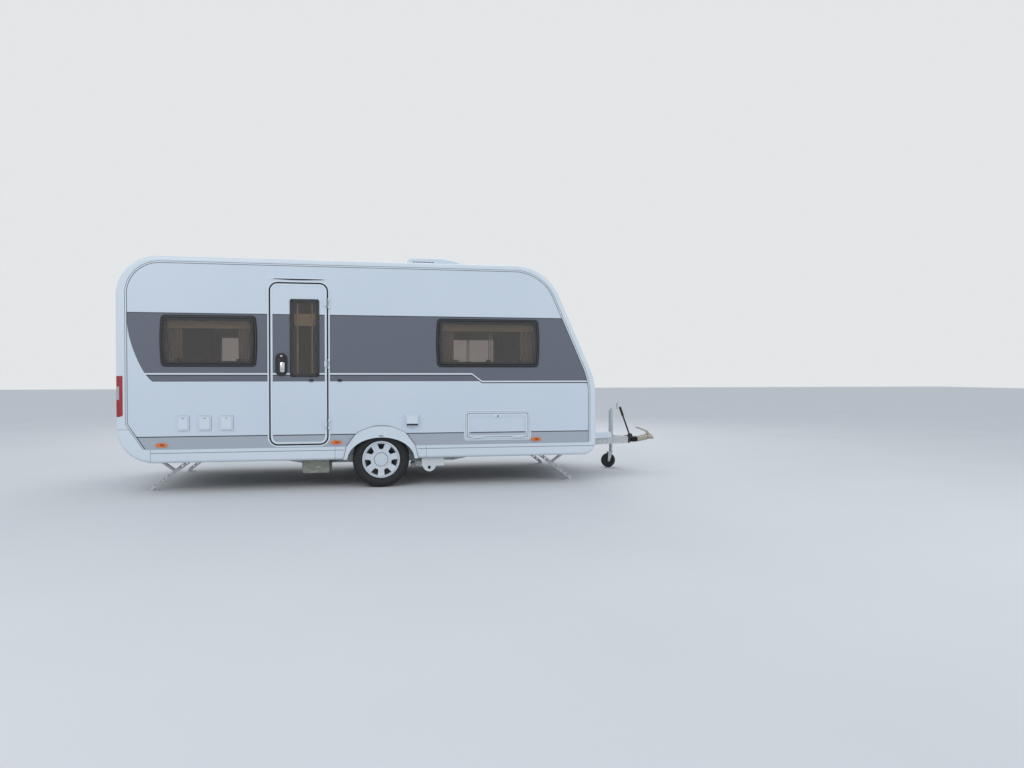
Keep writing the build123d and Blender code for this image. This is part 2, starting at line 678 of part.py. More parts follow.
# Fixed frames round the openings, with the fixed halves of the hinges
rail_z = door_top_z + 55
rail_half = 318
rail_out = 18
rail_height = 16
with BuildPart() as opening_frames:
    for face_plane, windows in (
        (right_face, right_windows), (left_face, left_windows),
        (front_face, front_windows), (rear_face, rear_windows),
    ):
        for window in windows:
            add(window_frame(face_plane, window))
    with BuildSketch(Plane.XZ.offset(inner_y)):
        with Locations((door_x, door_z)):
            RectangleRounded(
                door_length + 2 * door_frame, door_height + 2 * door_frame,
                door_corner + door_frame,
            )
        with Locations((door_x, wall_low_z + 50)):
            Rectangle(door_length + 2 * door_frame, 100)
        with Locations((door_x, door_z)):
            RectangleRounded(
                door_length + 2 * door_gap, door_height + 2 * door_gap,
                door_corner + door_gap, mode=Mode.SUBTRACT,
            )
    extrude(amount=panel)
    with BuildSketch(right_face):
        with Locations((door_x, door_z)):
            RectangleRounded(
                door_length + 2 * door_frame + 24, door_height + 2 * door_frame + 24,
                door_corner + door_frame + 12,
            )
            RectangleRounded(
                door_length + 2 * door_gap, door_height + 2 * door_gap,
                door_corner + door_gap, mode=Mode.SUBTRACT,
            )
        with Locations((door_x, wall_low_z + roof_z)):
            Rectangle(2 * door_length, 2 * roof_z, mode=Mode.INTERSECT)
    extrude(amount=5)
    for height in door_hinges:
        for end in (-1, 1):
            with BuildSketch(Plane.XY.offset(height + end * (hinge_half + fit) - (end < 0) * 24)):
                with Locations((door_hinge_x, -door_hinge_y)):
                    Circle(door_hinge_radius)
                with Locations((door_hinge_x + 14, -(door_hinge_y + wall_y) / 2 - 2)):
                    Rectangle(28, door_hinge_y - wall_y - 4)
            extrude(amount=24)
    with BuildSketch(Plane.XZ.offset(inner_y)):
        with Locations((hatch_x, hatch_z)):
            RectangleRounded(
                hatch_length + 2 * hatch_frame, hatch_height + 2 * hatch_frame, 30
            )
            RectangleRounded(
                hatch_length + 2 * hatch_gap, hatch_height + 2 * hatch_gap, 20,
                mode=Mode.SUBTRACT,
            )
    extrude(amount=panel + 3)
    with BuildSketch(right_face):
        with Locations((hatch_x, hatch_z)):
            RectangleRounded(
                hatch_length + 2 * hatch_frame + 12, hatch_height + 2 * hatch_frame + 12, 36
            )
            RectangleRounded(
                hatch_length + 2 * hatch_gap, hatch_height + 2 * hatch_gap, 20,
                mode=Mode.SUBTRACT,
            )
    extrude(amount=3)
    for along in hatch_hinges:
        for end in (-1, 1):
            with BuildSketch(Plane.YZ.offset(along + end * (40 + fit) - (end < 0) * 30)):
                with Locations((-hatch_hinge_y, hatch_hinge_z)):
                    Circle(hinge_rod)
                with Locations((-(hatch_hinge_y + wall_y) / 2 - 1, hatch_hinge_z - 6)):
                    Rectangle(hatch_hinge_y - wall_y + 4, 10)
            extrude(amount=30)
    with BuildSketch(Plane.XY.offset(lining_z)):
        with Locations((light_x, light_y)):
            RectangleRounded(
                light_length - 2 * frame_neck, light_width - 2 * frame_neck,
                window_corner - frame_neck,
            )
            RectangleRounded(light_length - 60, light_width - 60, 30, mode=Mode.SUBTRACT)
    extrude(amount=light_frame_z - lining_z)
    with BuildSketch(roof_face):
        with Locations((light_x, light_y)):
            RectangleRounded(light_length + 40, light_width + 40, window_corner)
            RectangleRounded(light_length - 60, light_width - 60, 30, mode=Mode.SUBTRACT)
    extrude(amount=6)
    for across in light_hinges:
        for end in (-1, 1):
            with BuildSketch(Plane.XZ.offset(-across - end * (30 + fit) - (end > 0) * 24)):
                with Locations((light_hinge_x, light_hinge_z)):
                    Circle(hinge_rod)
                with Locations((light_hinge_x - 1, (light_hinge_z + roof_z) / 2 - 1)):
                    Rectangle(10, light_hinge_z - roof_z + 4)
            extrude(amount=24)
    with BuildSketch(right_face):
        with Locations(wall_catch_at):
            RectangleRounded(44, 26, 6)
    extrude(amount=12)
    with BuildSketch(Plane.XY.offset(rail_z)):
        with BuildLine():
            Polyline(
                (door_x - rail_half, -wall_y), (door_x - rail_half + 60, -wall_y - rail_out),
                (door_x + rail_half - 60, -wall_y - rail_out), (door_x + rail_half, -wall_y),
                close=True,
            )
        make_face()
    extrude(amount=rail_height)

# Rear lamps, side and front marker lamps
rear_lamps = Compound([corner_lamp(), mirror(corner_lamp(), Plane.XZ)])
side_marker_x = [-2846, -977, 1366]
marker_z = 540
front_marker_y = half_width - 150
front_marker_z = 640
with BuildPart() as marker_lamps:
    for side in (-1, 1):
        face_plane = right_face if side < 0 else left_face
        with BuildSketch(face_plane):
            with Locations(*[(-side * along, marker_z) for along in side_marker_x]):
                Ellipse(60, 25)
        extrude(amount=11)
        with BuildSketch(Plane.YZ.offset(body_front_x - shell_inset)):
            with Locations((side * front_marker_y, front_marker_z)):
                Ellipse(24, 46)
        extrude(amount=11)

# Grab handles at the rear and beside the gas locker lid
handle_bar = 11
handle_reach = 42
handle_half = 95
grab_handles = []
for x, out in ((rear_x + shell_inset, -1), (body_front_x - shell_inset, 1)):
    for side in (-1, 1):
        y = side * (half_width - (230 if out > 0 else 270))
        z = 800 if out > 0 else 780
        with BuildPart() as handle:
            with BuildLine() as route:
                FilletPolyline(
                    (x, y, z - handle_half), (x + out * handle_reach, y, z - handle_half + 15),
                    (x + out * handle_reach, y, z + handle_half - 15), (x, y, z + handle_half),
                    radius=25,
                )
            with BuildSketch(Plane(route.line @ 0, z_dir=route.line % 0)):
                Circle(handle_bar)
            sweep()
            clip = x + out * 200
            with BuildSketch(Plane.YZ.offset(x)):
                with Locations((y, z)):
                    Rectangle(200, 600)
            extrude(amount=-out * 100, mode=Mode.SUBTRACT)
        grab_handles.append(handle.part)
grab_handles = Compound(grab_handles)

# Roof unit: a low wedge with louvres in its rear face
unit_rear_x = -153
unit_length = 725
unit_height = 196
unit_half_width = 280
unit_z = roof_z - shell_inset
with BuildPart() as roof_unit:
    with BuildSketch(Plane.XZ.offset(-unit_half_width)):
        with BuildLine():
            l1 = Line((unit_rear_x, unit_z), (unit_rear_x + 22, unit_z + unit_height - 30))
            l2 = Line((unit_rear_x + 22, unit_z + unit_height - 30), (unit_rear_x + 60, unit_z + unit_height))
            l3 = Line(
                (unit_rear_x + 60, unit_z + unit_height), (unit_rear_x + 330, unit_z + unit_height - 8)
            )
            l4 = TangentArc(
                (unit_rear_x + 330, unit_z + unit_height - 8),
                (unit_rear_x + unit_length, unit_z + 40), tangent=(1, -0.05),
            )
            Line((unit_rear_x + unit_length, unit_z + 40), (unit_rear_x + unit_length, unit_z))
            Line((unit_rear_x + unit_length, unit_z), (unit_rear_x, unit_z))
        make_face()
    extrude(amount=2 * unit_half_width)
    fillet(roof_unit.faces().filter_by(Axis.Y).edges().filter_by(
        lambda e: e.center().Z > unit_z + 45
    ), 30)
    for row in range(5):
        with BuildSketch(Plane.XY.offset(unit_z + 28 + row * 26)):
            with Locations((unit_rear_x, 0)):
                Rectangle(80, 2 * unit_half_width - 110)
        extrude(amount=12, mode=Mode.SUBTRACT)

# Mains inlet box and the small covers on both sides
with BuildPart() as mains_inlet:
    with BuildSketch(right_face):
        with Locations((-114, 784)):
            RectangleRounded(150, 136, 14)
    extrude(amount=16)
    with BuildSketch(Plane.YZ.offset(-114 - 66)):
        with BuildLine():
            Polyline(
                (-wall_y - 10, 722), (-wall_y - 40, 726), (-wall_y - 50, 748),
                (-wall_y - 46, 838), (-wall_y - 10, 846), close=True,
            )
        make_face()
    extrude(amount=132)
    with BuildSketch(Plane.XY.offset(716)):
        with Locations((-114, -wall_y - 27)):
            Circle(15)
    extrude(amount=34, mode=Mode.SUBTRACT)

# Side (-1 right), centre x, centre z, length, height, corner radius
cover_table = [
    (-1, -2622, 779, 130, 163, 14), (-1, -2396, 779, 136, 163, 14), (-1, -2167, 779, 142, 163, 14),
    (1, -1000, 1130, 420, 240, 16), (1, -1000, 1960, 420, 240, 16), (1, 140, 790, 330, 350, 24),
    (1, 760, 745, 760, 340, 30),
]
with BuildPart() as service_covers:
    for side, x, z, length, height, radius in cover_table:
        face_plane = right_face if side < 0 else left_face
        with BuildSketch(face_plane):
            with Locations((-side * x, z)):
                RectangleRounded(length, height, radius)
        extrude(amount=12)
        with BuildSketch(face_plane.offset(12)):
            with Locations((-side * x, z)):
                RectangleRounded(length - 26, height - 26, radius)
        extrude(amount=5)

# Chassis: side members, cross members and drawbar beams, bolted end to end
member_rear_x = -3020
member_low_z = 238
member_under = [
    (member_front_x, 370), (720, 294), (430, member_low_z), (-1400, member_low_z),
    (-1900, 330), (member_rear_x, 425),
]
axle_tube_x = axle_x + 150
axle_tube_z = 305
axle_tube_flat = 50
cross_members = [-2700, -1650, 1250]
cross_height = 90
drawbar_tie_x = 1925
web_slots = [(-1250, 260), (400, 260), (950, 180), (-1800, 180)]


def side_member(side):
    """C-section side member, deepest round the axle, with slots in its web."""
    outline = [(member_rear_x, wall_low_z), (member_front_x, wall_low_z), *member_under]
    with BuildPart(mode=Mode.PRIVATE) as member:
        with BuildSketch(Plane.XZ.offset(-side * member_y - member_flange / 2)):
            with BuildLine():
                Polyline(*outline, close=True)
            make_face()
        extrude(amount=member_flange)
        with BuildSketch(Plane.XZ.offset(-side * (member_y - member_thick) - member_flange / 2)):
            with BuildLine() as inside:
                Polyline(*outline, close=True)
            make_face()
            offset(amount=-member_thick, mode=Mode.REPLACE)
            with Locations((member_front_x - member_thick, (wall_low_z + beam_low_z) / 2)):
                Rectangle(3 * member_thick, wall_low_z - beam_low_z - 2 * member_thick)
        extrude(amount=member_flange, mode=Mode.SUBTRACT)
        with BuildSketch(Plane.XZ.offset(-side * member_y - member_flange / 2)):
            for x, length in web_slots:
                with Locations((x, 415)):
                    SlotOverall(length, 60)
        extrude(amount=member_flange, mode=Mode.SUBTRACT)
        with BuildSketch(Plane.XZ.offset(-side * member_y - member_flange / 2)):
            with Locations((axle_tube_x, axle_tube_z)):
                RegularPolygon(axle_tube_flat + fit, 6, major_radius=False, rotation=30)
        extrude(amount=member_flange, mode=Mode.SUBTRACT)
    return member.part


def cross_member(x):
    """Upright plate with a folded top edge, between the side members."""
    length = 2 * member_y - member_flange - 2 * fit
    with BuildPart(mode=Mode.PRIVATE) as member:
        with BuildSketch(Plane.YZ.offset(x)):
            with Locations((0, wall_low_z - cross_height / 2)):
                Rectangle(length, cross_height)
                SlotOverall(length / 2, cross_height / 2, mode=Mode.SUBTRACT)
        extrude(amount=member_thick)
        with BuildSketch(Plane.YZ.offset(x)):
            with Locations((0, wall_low_z - member_thick / 2)):
                Rectangle(length, member_thick)
        extrude(amount=40)
    return member.part


with BuildPart() as drawbar_ties:
    tie_half = beam_y(drawbar_tie_x + 30) - beam_width / 2 - fit
    with BuildSketch(Plane.XY.offset(beam_low_z + 10)):
        with Locations((drawbar_tie_x, 0)):
            Rectangle(60, 2 * tie_half)
    extrude(amount=beam_top_z - beam_low_z - 20)

with BuildPart() as drawbar_block:
    block_half = beam_y(beam_front_x) - beam_width / 2 - fit
    with BuildSketch(Plane.XY.offset(beam_low_z)):
        with Locations((beam_front_x - 90, 0)):
            Rectangle(180, 2 * block_half)
    extrude(amount=beam_top_z - beam_low_z)
    with BuildSketch(Plane.YZ.offset(beam_front_x - 300)):
        with Locations((0, drawbar_z)):
            Circle(shaft_radius + 2)
    extrude(amount=400, mode=Mode.SUBTRACT)

with BuildPart() as jockey_clamp:
    with BuildSketch(Plane.XY.offset(beam_top_z - 60)):
        with Locations((jockey_x, jockey_y)):
            Circle(jockey_tube_radius + 9)
        with BuildLine():
            Polyline(
                (jockey_x - 25, beam_y(jockey_x - 25) + beam_width / 2 + fit),
                (jockey_x - 25, jockey_y), (jockey_x + 25, jockey_y),
                (jockey_x + 25, beam_y(jockey_x + 25) + beam_width / 2 + fit), close=True,
            )
        make_face()
        with Locations((jockey_x, jockey_y)):
            Circle(jockey_tube_radius, mode=Mode.SUBTRACT)
    extrude(amount=60)

# Axle: hexagon tube, and on each side a trailing arm with brake drum and stub axle
drum_radius = 118
axle_half = wheel_y - 162
arm_thick = 54
drum_thick = 58
stub_radius = 17.5
with BuildPart() as axle_tube:
    with BuildSketch(Plane.XZ.offset(-axle_half)):
        with Locations((axle_tube_x, axle_tube_z)):
            RegularPolygon(axle_tube_flat, 6, major_radius=False, rotation=30)
    extrude(amount=2 * axle_half)

with BuildPart() as trailing_arm:
    with BuildSketch(Plane.XZ.offset(axle_half + fit)):
        with BuildLine():
            Polyline(
                (axle_tube_x + 45, axle_tube_z + 45), (axle_x - 20, wheel_z + 40),
                (axle_x - 30, wheel_z - 34), (axle_tube_x + 45, axle_tube_z - 45), close=True,
            )
        face = make_face()
        fillet(face.vertices(), 18)
    extrude(amount=arm_thick)
    with BuildSketch(Plane.XZ.offset(axle_half + arm_thick)):
        with Locations((axle_x, wheel_z)):
            Circle(drum_radius)
    extrude(amount=drum_thick)
    with BuildSketch(Plane.XZ.offset(axle_half + arm_thick)):
        with Locations((axle_x, wheel_z)):
            Circle(stub_radius)
    extrude(amount=wheel_y - axle_half - arm_thick)
axle_solids = [axle_tube.part, trailing_arm.part, mirror(trailing_arm.part, Plane.XZ)]

# Overrun housing with its bellows, shaft and parking brake lever
gaiter_rear_x = beam_front_x + 40
gaiter_front_x = gaiter_rear_x + 120
gaiter_ridges = 5
lever_ahead = 45
with BuildPart() as drawbar_head:
    with BuildSketch(Plane.YZ.offset(beam_front_x - 290)):
        with Locations((0, drawbar_z)):
            Circle(shaft_radius + 2 - fit)
    extrude(amount=300)
    with BuildSketch(Plane.YZ.offset(beam_front_x + fit)):
        with Locations((0, drawbar_z)):
            RectangleRounded(150, 100, 22)
    extrude(amount=gaiter_rear_x - beam_front_x - fit)
    pitch = (gaiter_front_x - gaiter_rear_x) / gaiter_ridges
    with BuildSketch(Plane.XZ):
        with BuildLine():
            teeth = []
            for ridge in range(gaiter_ridges):
                start = gaiter_rear_x + ridge * pitch
                teeth += [(start, drawbar_z + 32), (start + pitch / 2, drawbar_z + 44)]
            Polyline(
                (gaiter_rear_x, drawbar_z), *teeth, (gaiter_front_x, drawbar_z + 32),
                (gaiter_front_x, drawbar_z), close=True,
            )
        make_face()
    revolve(axis=Axis((0, 0, drawbar_z), (1, 0, 0)))
    with BuildSketch(Plane.YZ.offset(gaiter_front_x)):
        with Locations((0, drawbar_z)):
            Circle(shaft_radius)
    extrude(amount=90)
    with BuildSketch(Plane.XZ.offset(52)):
        with Locations((beam_front_x + lever_ahead, drawbar_z + 50)):
            Circle(38)
    extrude(amount=12)
    lever = Plane(
        (beam_front_x + lever_ahead, -58, drawbar_z + 50), x_dir=(0, 1, 0),
        z_dir=(-sin(radians(20)), 0, cos(radians(20))),
    )
    with BuildSketch(lever):
        Circle(11)
    extrude(amount=300)
    with BuildSketch(lever.offset(300)):
        Circle(17)
    extrude(amount=130)

# Coupling head with its ball socket, open downwards
with BuildPart() as coupling:
    with BuildSketch(Plane.YZ.offset(gaiter_front_x + 6)):
        with Locations((0, drawbar_z)):
            RectangleRounded(78, 74, 18)
    with BuildSketch(Plane.YZ.offset(ball_x - 40)):
        with Locations((0, ball_z + 6)):
            RectangleRounded(96, 80, 26)
    loft()
    with BuildSketch(Plane.XZ):
        with BuildLine():
            Polyline(
                (ball_x, ball_mouth_z), (ball_x + 44, ball_mouth_z), (ball_x + 44, ball_z + 14)
            )
            ThreePointArc(
                (ball_x + 44, ball_z + 14), (ball_x + 30, ball_z + 38), (ball_x, ball_z + 46)
            )
            Line((ball_x, ball_z + 46), (ball_x, ball_mouth_z))
        make_face()
    revolve(axis=Axis((ball_x, 0, 0), (0, 0, 1)))
    with BuildSketch(Plane.XY.offset(ball_mouth_z)):
        with Locations((ball_x + 30, 0)):
            RectangleRounded(60, 50, 12)
    extrude(amount=30)
    with BuildSketch(Plane.YZ.offset(gaiter_front_x + 5)):
        with Locations((0, drawbar_z)):
            Circle(shaft_radius + 0.05)
    extrude(amount=86, mode=Mode.SUBTRACT)
    with BuildSketch(Plane.XY.offset(ball_mouth_z - 1)):
        with Locations((ball_x, 0)):
            Circle(ball_radius)
    extrude(amount=ball_z - ball_mouth_z + 1, mode=Mode.SUBTRACT)
    with BuildSketch(Plane.XZ):
        with BuildLine():
            Line((ball_x, ball_z - ball_radius), (ball_x, ball_z + ball_radius))
            ThreePointArc(
                (ball_x, ball_z + ball_radius), (ball_x + ball_radius, ball_z),
                (ball_x, ball_z - ball_radius),
            )
        make_face()
    revolve(axis=Axis((ball_x, 0, 0), (0, 0, 1)), mode=Mode.SUBTRACT)
    grip = Plane.XZ.offset(-18)
    with BuildSketch(grip):
        with BuildLine():
            Polyline(
                (ball_x - 20, ball_z + 30), (ball_x + 12, ball_z + 34), (ball_x - 30, ball_z + 90),
                (ball_x - 190, ball_z + 150), (ball_x - 200, ball_z + 132),
                (ball_x - 60, ball_z + 78), close=True,
            )
        make_face()
    extrude(amount=36)

# Moulded cover over the drawbar
cover_rear_x = body_front_x + 20
cover_front_x = beam_front_x - 260
cover_rear_y = 420
cover_front_y = 200
cover_height = 76
cover_wall = 5
with BuildPart() as drawbar_cover:
    with BuildSketch(Plane.XY.offset(beam_top_z)):
        with BuildLine():
            Polyline(
                (cover_rear_x, -cover_rear_y), (cover_front_x, -cover_front_y),
                (cover_front_x, cover_front_y), (cover_rear_x, cover_rear_y), close=True,
            )
        make_face()
    extrude(amount=cover_height, taper=12)
    fillet(drawbar_cover.faces().sort_by(Axis.Z)[-1].edges(), 18)
    offset(amount=-cover_wall, openings=drawbar_cover.faces().sort_by(Axis.Z)[0])

# Motor mover: drive boxes with rollers before both wheels, joined by a cross tube
roller_radius = 28
roller_z = 255
roller_x = axle_x + sqrt((tyre_radius + tyre_front_gap + roller_radius) ** 2 - (wheel_z - roller_z) ** 2)
mover_rear_x = 2
mover_length = 260
mover_low_z = 240
mover_top_z = skirt_low_z - 5
mover_guard_x = mover_rear_x + 88
mover_guard_radius = 76
cross_tube_x = mover_rear_x + 150
cross_tube_z = member_low_z - 20
with BuildPart() as motor_mover:
    for side in (-1, 1):
        with BuildSketch(Plane.XZ.offset(side * (wheel_y - 40) - 130)):
            with Locations((mover_rear_x + mover_length / 2, (mover_low_z + mover_top_z) / 2)):
                RectangleRounded(mover_length, mover_top_z - mover_low_z, 12)
            with Locations((mover_guard_x, mover_low_z + 10)):
                Circle(mover_guard_radius)
            with Locations((mover_guard_x, mover_top_z + mover_guard_radius)):
                Rectangle(2 * mover_length, 2 * mover_guard_radius, mode=Mode.SUBTRACT)
            with Locations((mover_guard_x, mover_low_z - 18)):
                Rectangle(32, 36, mode=Mode.SUBTRACT)
        extrude(amount=260)
        with BuildSketch(Plane.XZ.offset(side * wheel_y - 88)):
            with Locations((roller_x, roller_z)):
                Circle(roller_radius)
        extrude(amount=176)
        with BuildSketch(Plane.XZ.offset(side * (wheel_y - 110) - 25)):
            with Locations(((roller_x + mover_rear_x + 20) / 2, roller_z)):
                SlotOverall(mover_rear_x - roller_x + 70, 44)
        extrude(amount=50)
        with BuildSketch(Plane.XZ.offset(side * (wheel_y - 162) - 8)):
            with Locations((cross_tube_x, cross_tube_z + 17)):
                Rectangle(70, 68)
        extrude(amount=16)
        with BuildSketch(Plane.XY.offset(cross_tube_z)):
            with Locations((cross_tube_x, side * (member_y + member_flange / 2 + fit + 20))):
                Rectangle(70, 40)
        extrude(amount=wall_low_z - cross_tube_z)
    with BuildSketch(Plane.XZ.offset(-wheel_y + 156)):
        with Locations((cross_tube_x, cross_tube_z)):
            Rectangle(40, 34)
    extrude(amount=2 * (wheel_y - 156))

# Waste water tank under the floor
tank_low_z = 179
tank_x = door_x + 173
with BuildPart() as underfloor_tank:
    with BuildSketch(Plane.XY.offset(tank_low_z)):
        with Locations((tank_x, -half_width + 360)):
            RectangleRounded(312, 440, 20)
    extrude(amount=wall_low_z - tank_low_z)

# Gas locker bulkhead and top
locker_x = 1640
locker_top_z = 1190
board = 18
with BuildPart() as gas_locker:
    with BuildSketch(Plane.XZ.offset(-inner_y)):
        inset = shell_inset + panel
        add(body_outline(inset, inset, inset, floor_z, locker_top_z))
        with Locations((rear_x, locker_top_z)):
            Rectangle(2 * (locker_x - rear_x), 2 * locker_top_z, mode=Mode.SUBTRACT)
        with Locations((locker_x + board + body_front_x, floor_z)):
            Rectangle(2 * body_front_x, 2 * (locker_top_z - board - floor_z), mode=Mode.SUBTRACT)
    extrude(amount=2 * inner_y)

# Rear seats round a table
seat_z = 920
seat_front_x = -1850
seat_depth = 620
rear_seat_x = -2650
cushion = 130
with BuildPart() as cabin_space:
    with BuildSketch(Plane.XZ.offset(-inner_y)):
        add(body_outline(inset, inset, inset, floor_z, lining_z))
    extrude(amount=2 * inner_y)

with BuildPart() as lounge_bench:
    with BuildSketch(Plane.XY.offset(floor_z)):
        with Locations(((rear_x + seat_front_x) / 2, 0)):
            Rectangle(seat_front_x - rear_x, 2 * inner_y)
        with Locations(((rear_seat_x + seat_front_x) / 2 + 50, 0)):
            Rectangle(seat_front_x - rear_seat_x + 100, 2 * (inner_y - seat_depth), mode=Mode.SUBTRACT)
    extrude(amount=seat_z - floor_z)
    add(cabin_space.part, mode=Mode.INTERSECT)

back_thick = 120
back_height = 350
side_back_x = (rear_seat_x + seat_front_x) / 2 - 150
# Centre x, centre y, low z, length, width, height
cushion_table = [
    ((rear_x + rear_seat_x) / 2 + 25, 0, seat_z, rear_seat_x - rear_x - 70, 2 * inner_y - 20, cushion),
    ((rear_seat_x + seat_front_x) / 2, inner_y - 312, seat_z, seat_front_x - rear_seat_x - 8, 604, cushion),
    ((rear_seat_x + seat_front_x) / 2, 312 - inner_y, seat_z, seat_front_x - rear_seat_x - 8, 604, cushion),
    (rear_x + 105, 0, seat_z + cushion, back_thick, 2 * inner_y - 324, back_height),
    (side_back_x, inner_y - 72, seat_z + cushion, 1100, back_thick, back_height),
    (side_back_x, 72 - inner_y, seat_z + cushion, 1100, back_thick, back_height),
]
lounge_cushions = []
for x, y, z, length, width, height in cushion_table:
    with BuildPart() as pad:
        with BuildSketch(Plane.XY.offset(z + fit)):
            with Locations((x, y)):
                RectangleRounded(length, width, 40)
        extrude(amount=height - 2 * fit)
    lounge_cushions.append(pad.part)
lounge_cushions = Compound(lounge_cushions)

table_x = (rear_seat_x + seat_front_x) / 2 + 20
table_z = 1235
with BuildPart() as lounge_table:
    with BuildSketch(Plane.XY.offset(table_z)):
        with Locations((table_x, 0)):
            RectangleRounded(720, 900, 90)
    extrude(amount=28)
    with BuildSketch(Plane.XY.offset(floor_z)):
        with Locations((table_x, 0)):
            Circle(38)
    extrude(amount=table_z - floor_z)
    with BuildSketch(Plane.XY.offset(floor_z)):
        with Locations((table_x, 0)):
            Circle(170)
    extrude(amount=14)

# Furniture blocks: centre x, centre y, low z, length, width, height, corner radius
wheel_clear = wheel_box_radius + fit


def cabinet(x, y, z, length, width, height, radius):
    """One plain cabinet, cut round the wheel boxes and held inside the body."""
    with BuildPart(mode=Mode.PRIVATE) as block:
        with BuildSketch(Plane.XY.offset(z)):
            with Locations((x, y)):
                RectangleRounded(length, width, radius)
        extrude(amount=height)
        with BuildSketch(Plane.XZ.offset(-inner_y)):
            with Locations((axle_x, wheel_z)):
                Circle(wheel_clear)
        extrude(amount=inner_y - wheel_box_y + fit, mode=Mode.SUBTRACT)
        with BuildSketch(Plane.XZ.offset(wheel_box_y - fit)):
            with Locations((axle_x, wheel_z)):
                Circle(wheel_clear)
        extrude(amount=inner_y - wheel_box_y + fit, mode=Mode.SUBTRACT)
        add(cabin_space.part, mode=Mode.INTERSECT)
    return block.part


bed_length = 1376
bed_height = 396
bed_x = locker_x - 2 - bed_length / 2
bed_rear_x = bed_x - bed_length / 2
kitchen_unit = cabinet(bed_rear_x - 702, -(inner_y - 275), floor_z, 1060, 550, 900, 8)
washroom = Compound([
    cabinet(bed_rear_x - 437, inner_y - 430, floor_z, 750, 860, lining_z - floor_z, 8),
    cabinet(bed_rear_x - 1167, inner_y - 280, floor_z, 700, 560, lining_z - floor_z, 8),
])
with BuildPart() as bed_base:
    add(cabinet(bed_x, 0, floor_z, bed_length, 2 * inner_y - 12, bed_height, 8))
    with BuildSketch(Plane.XY.offset(floor_z)):
        with Locations((bed_x, -board)):
            Rectangle(bed_length - 2 * board, 2 * inner_y - 12)
    extrude(amount=bed_height - board, mode=Mode.SUBTRACT)
with BuildPart() as mattress:
    with BuildSketch(Plane.XY.offset(floor_z + bed_height + fit)):
        with Locations((bed_x, 0)):
            RectangleRounded(bed_length - 6, 2 * inner_y - 30, 60)
    extrude(amount=140)

# Wheels, drawn with their axis upright and their outer face up
opening_inner = 120
opening_outer = 188
wheel_bolts = 5
bolt_circle = 56
with BuildPart() as tyre:
    with BuildSketch(Plane.XZ):
        with BuildLine():
            half = tyre_width / 2
            Line((rim_radius, -76), (rim_radius, 76))
            Line((rim_radius, 76), (rim_radius + 16, 76))
            ThreePointArc((rim_radius + 16, 76), (258, half), (306, 86))
            ThreePointArc((306, 86), (321, 76), (tyre_radius, 60))
            Line((tyre_radius, 60), (tyre_radius, -60))
            ThreePointArc((tyre_radius, -60), (321, -76), (306, -86))
            ThreePointArc((306, -86), (258, -half), (rim_radius + 16, -76))
            Line((rim_radius + 16, -76), (rim_radius, -76))
        make_face()
    revolve(axis=Axis.Z)

with BuildPart() as rim_part:
    with BuildSketch(Plane.XZ):
        with BuildLine():
            Polyline(
                (172, -85), (206, -85), (206, -76 - fit), (rim_radius - fit, -76 - fit),
                (rim_radius - fit, 76 + fit), (206, 76 + fit), (206, 84), (216, 90), (214, 96),
                (202, 99), (150, 90), (80, 86), (76, 94), (0, 96), (0, 84), (70, 82), (146, 80),
                (172, 84), close=True,
            )
        make_face()
    revolve(axis=Axis.Z)
    with BuildSketch(Plane.XZ):
        with BuildLine():
            Polyline(
                (17.6, -24), (64, -24), (173, -4), (173, 4), (64, -14), (17.6, -14), close=True,
            )
        make_face()
    revolve(axis=Axis.Z)
    with BuildSketch(Plane.XY.offset(70)):
        with PolarLocations(0, spoke_count, start_angle=90):
            Polygon(
                (opening_inner, -18), (opening_inner + 14, -26), (opening_outer - 5, -45),
                (opening_outer, 0), (opening_outer - 5, 45), (opening_inner + 14, 26),
                (opening_inner, 18), align=None,
            )
    extrude(amount=40, mode=Mode.SUBTRACT)
    with BuildSketch(Plane.XY.offset(-16)):
        with PolarLocations(bolt_circle, wheel_bolts):
            RegularPolygon(11, 6)
    extrude(amount=18)

wheel_places = {
    "right": Plane((axle_x, -wheel_y, wheel_z), x_dir=(1, 0, 0), z_dir=(0, -1, 0)),
    "left": Plane((axle_x, wheel_y, wheel_z), x_dir=(-1, 0, 0), z_dir=(0, 1, 0)),
}

# Corner steadies, drawn for the front left: the strut's fixed pivot is at the origin
steady_slope = radians(steady_angle)
leg_length = (steady_pivot_z - foot_pin_z) / sin(steady_slope)
nut_x = -2 * strut_length * cos(steady_slope)
mid_x = -strut_length * cos(steady_slope)
mid_z = -strut_length * sin(steady_slope)
foot_x = nut_x + leg_length * cos(steady_slope)
foot_z = foot_pin_z - steady_pivot_z
plate_z = wall_low_z - steady_pivot_z
nut_in_x = -2 * strut_length * cos(radians(steady_angle - steady_travel))
pin_clear = 0.4
foot_cheek = 4

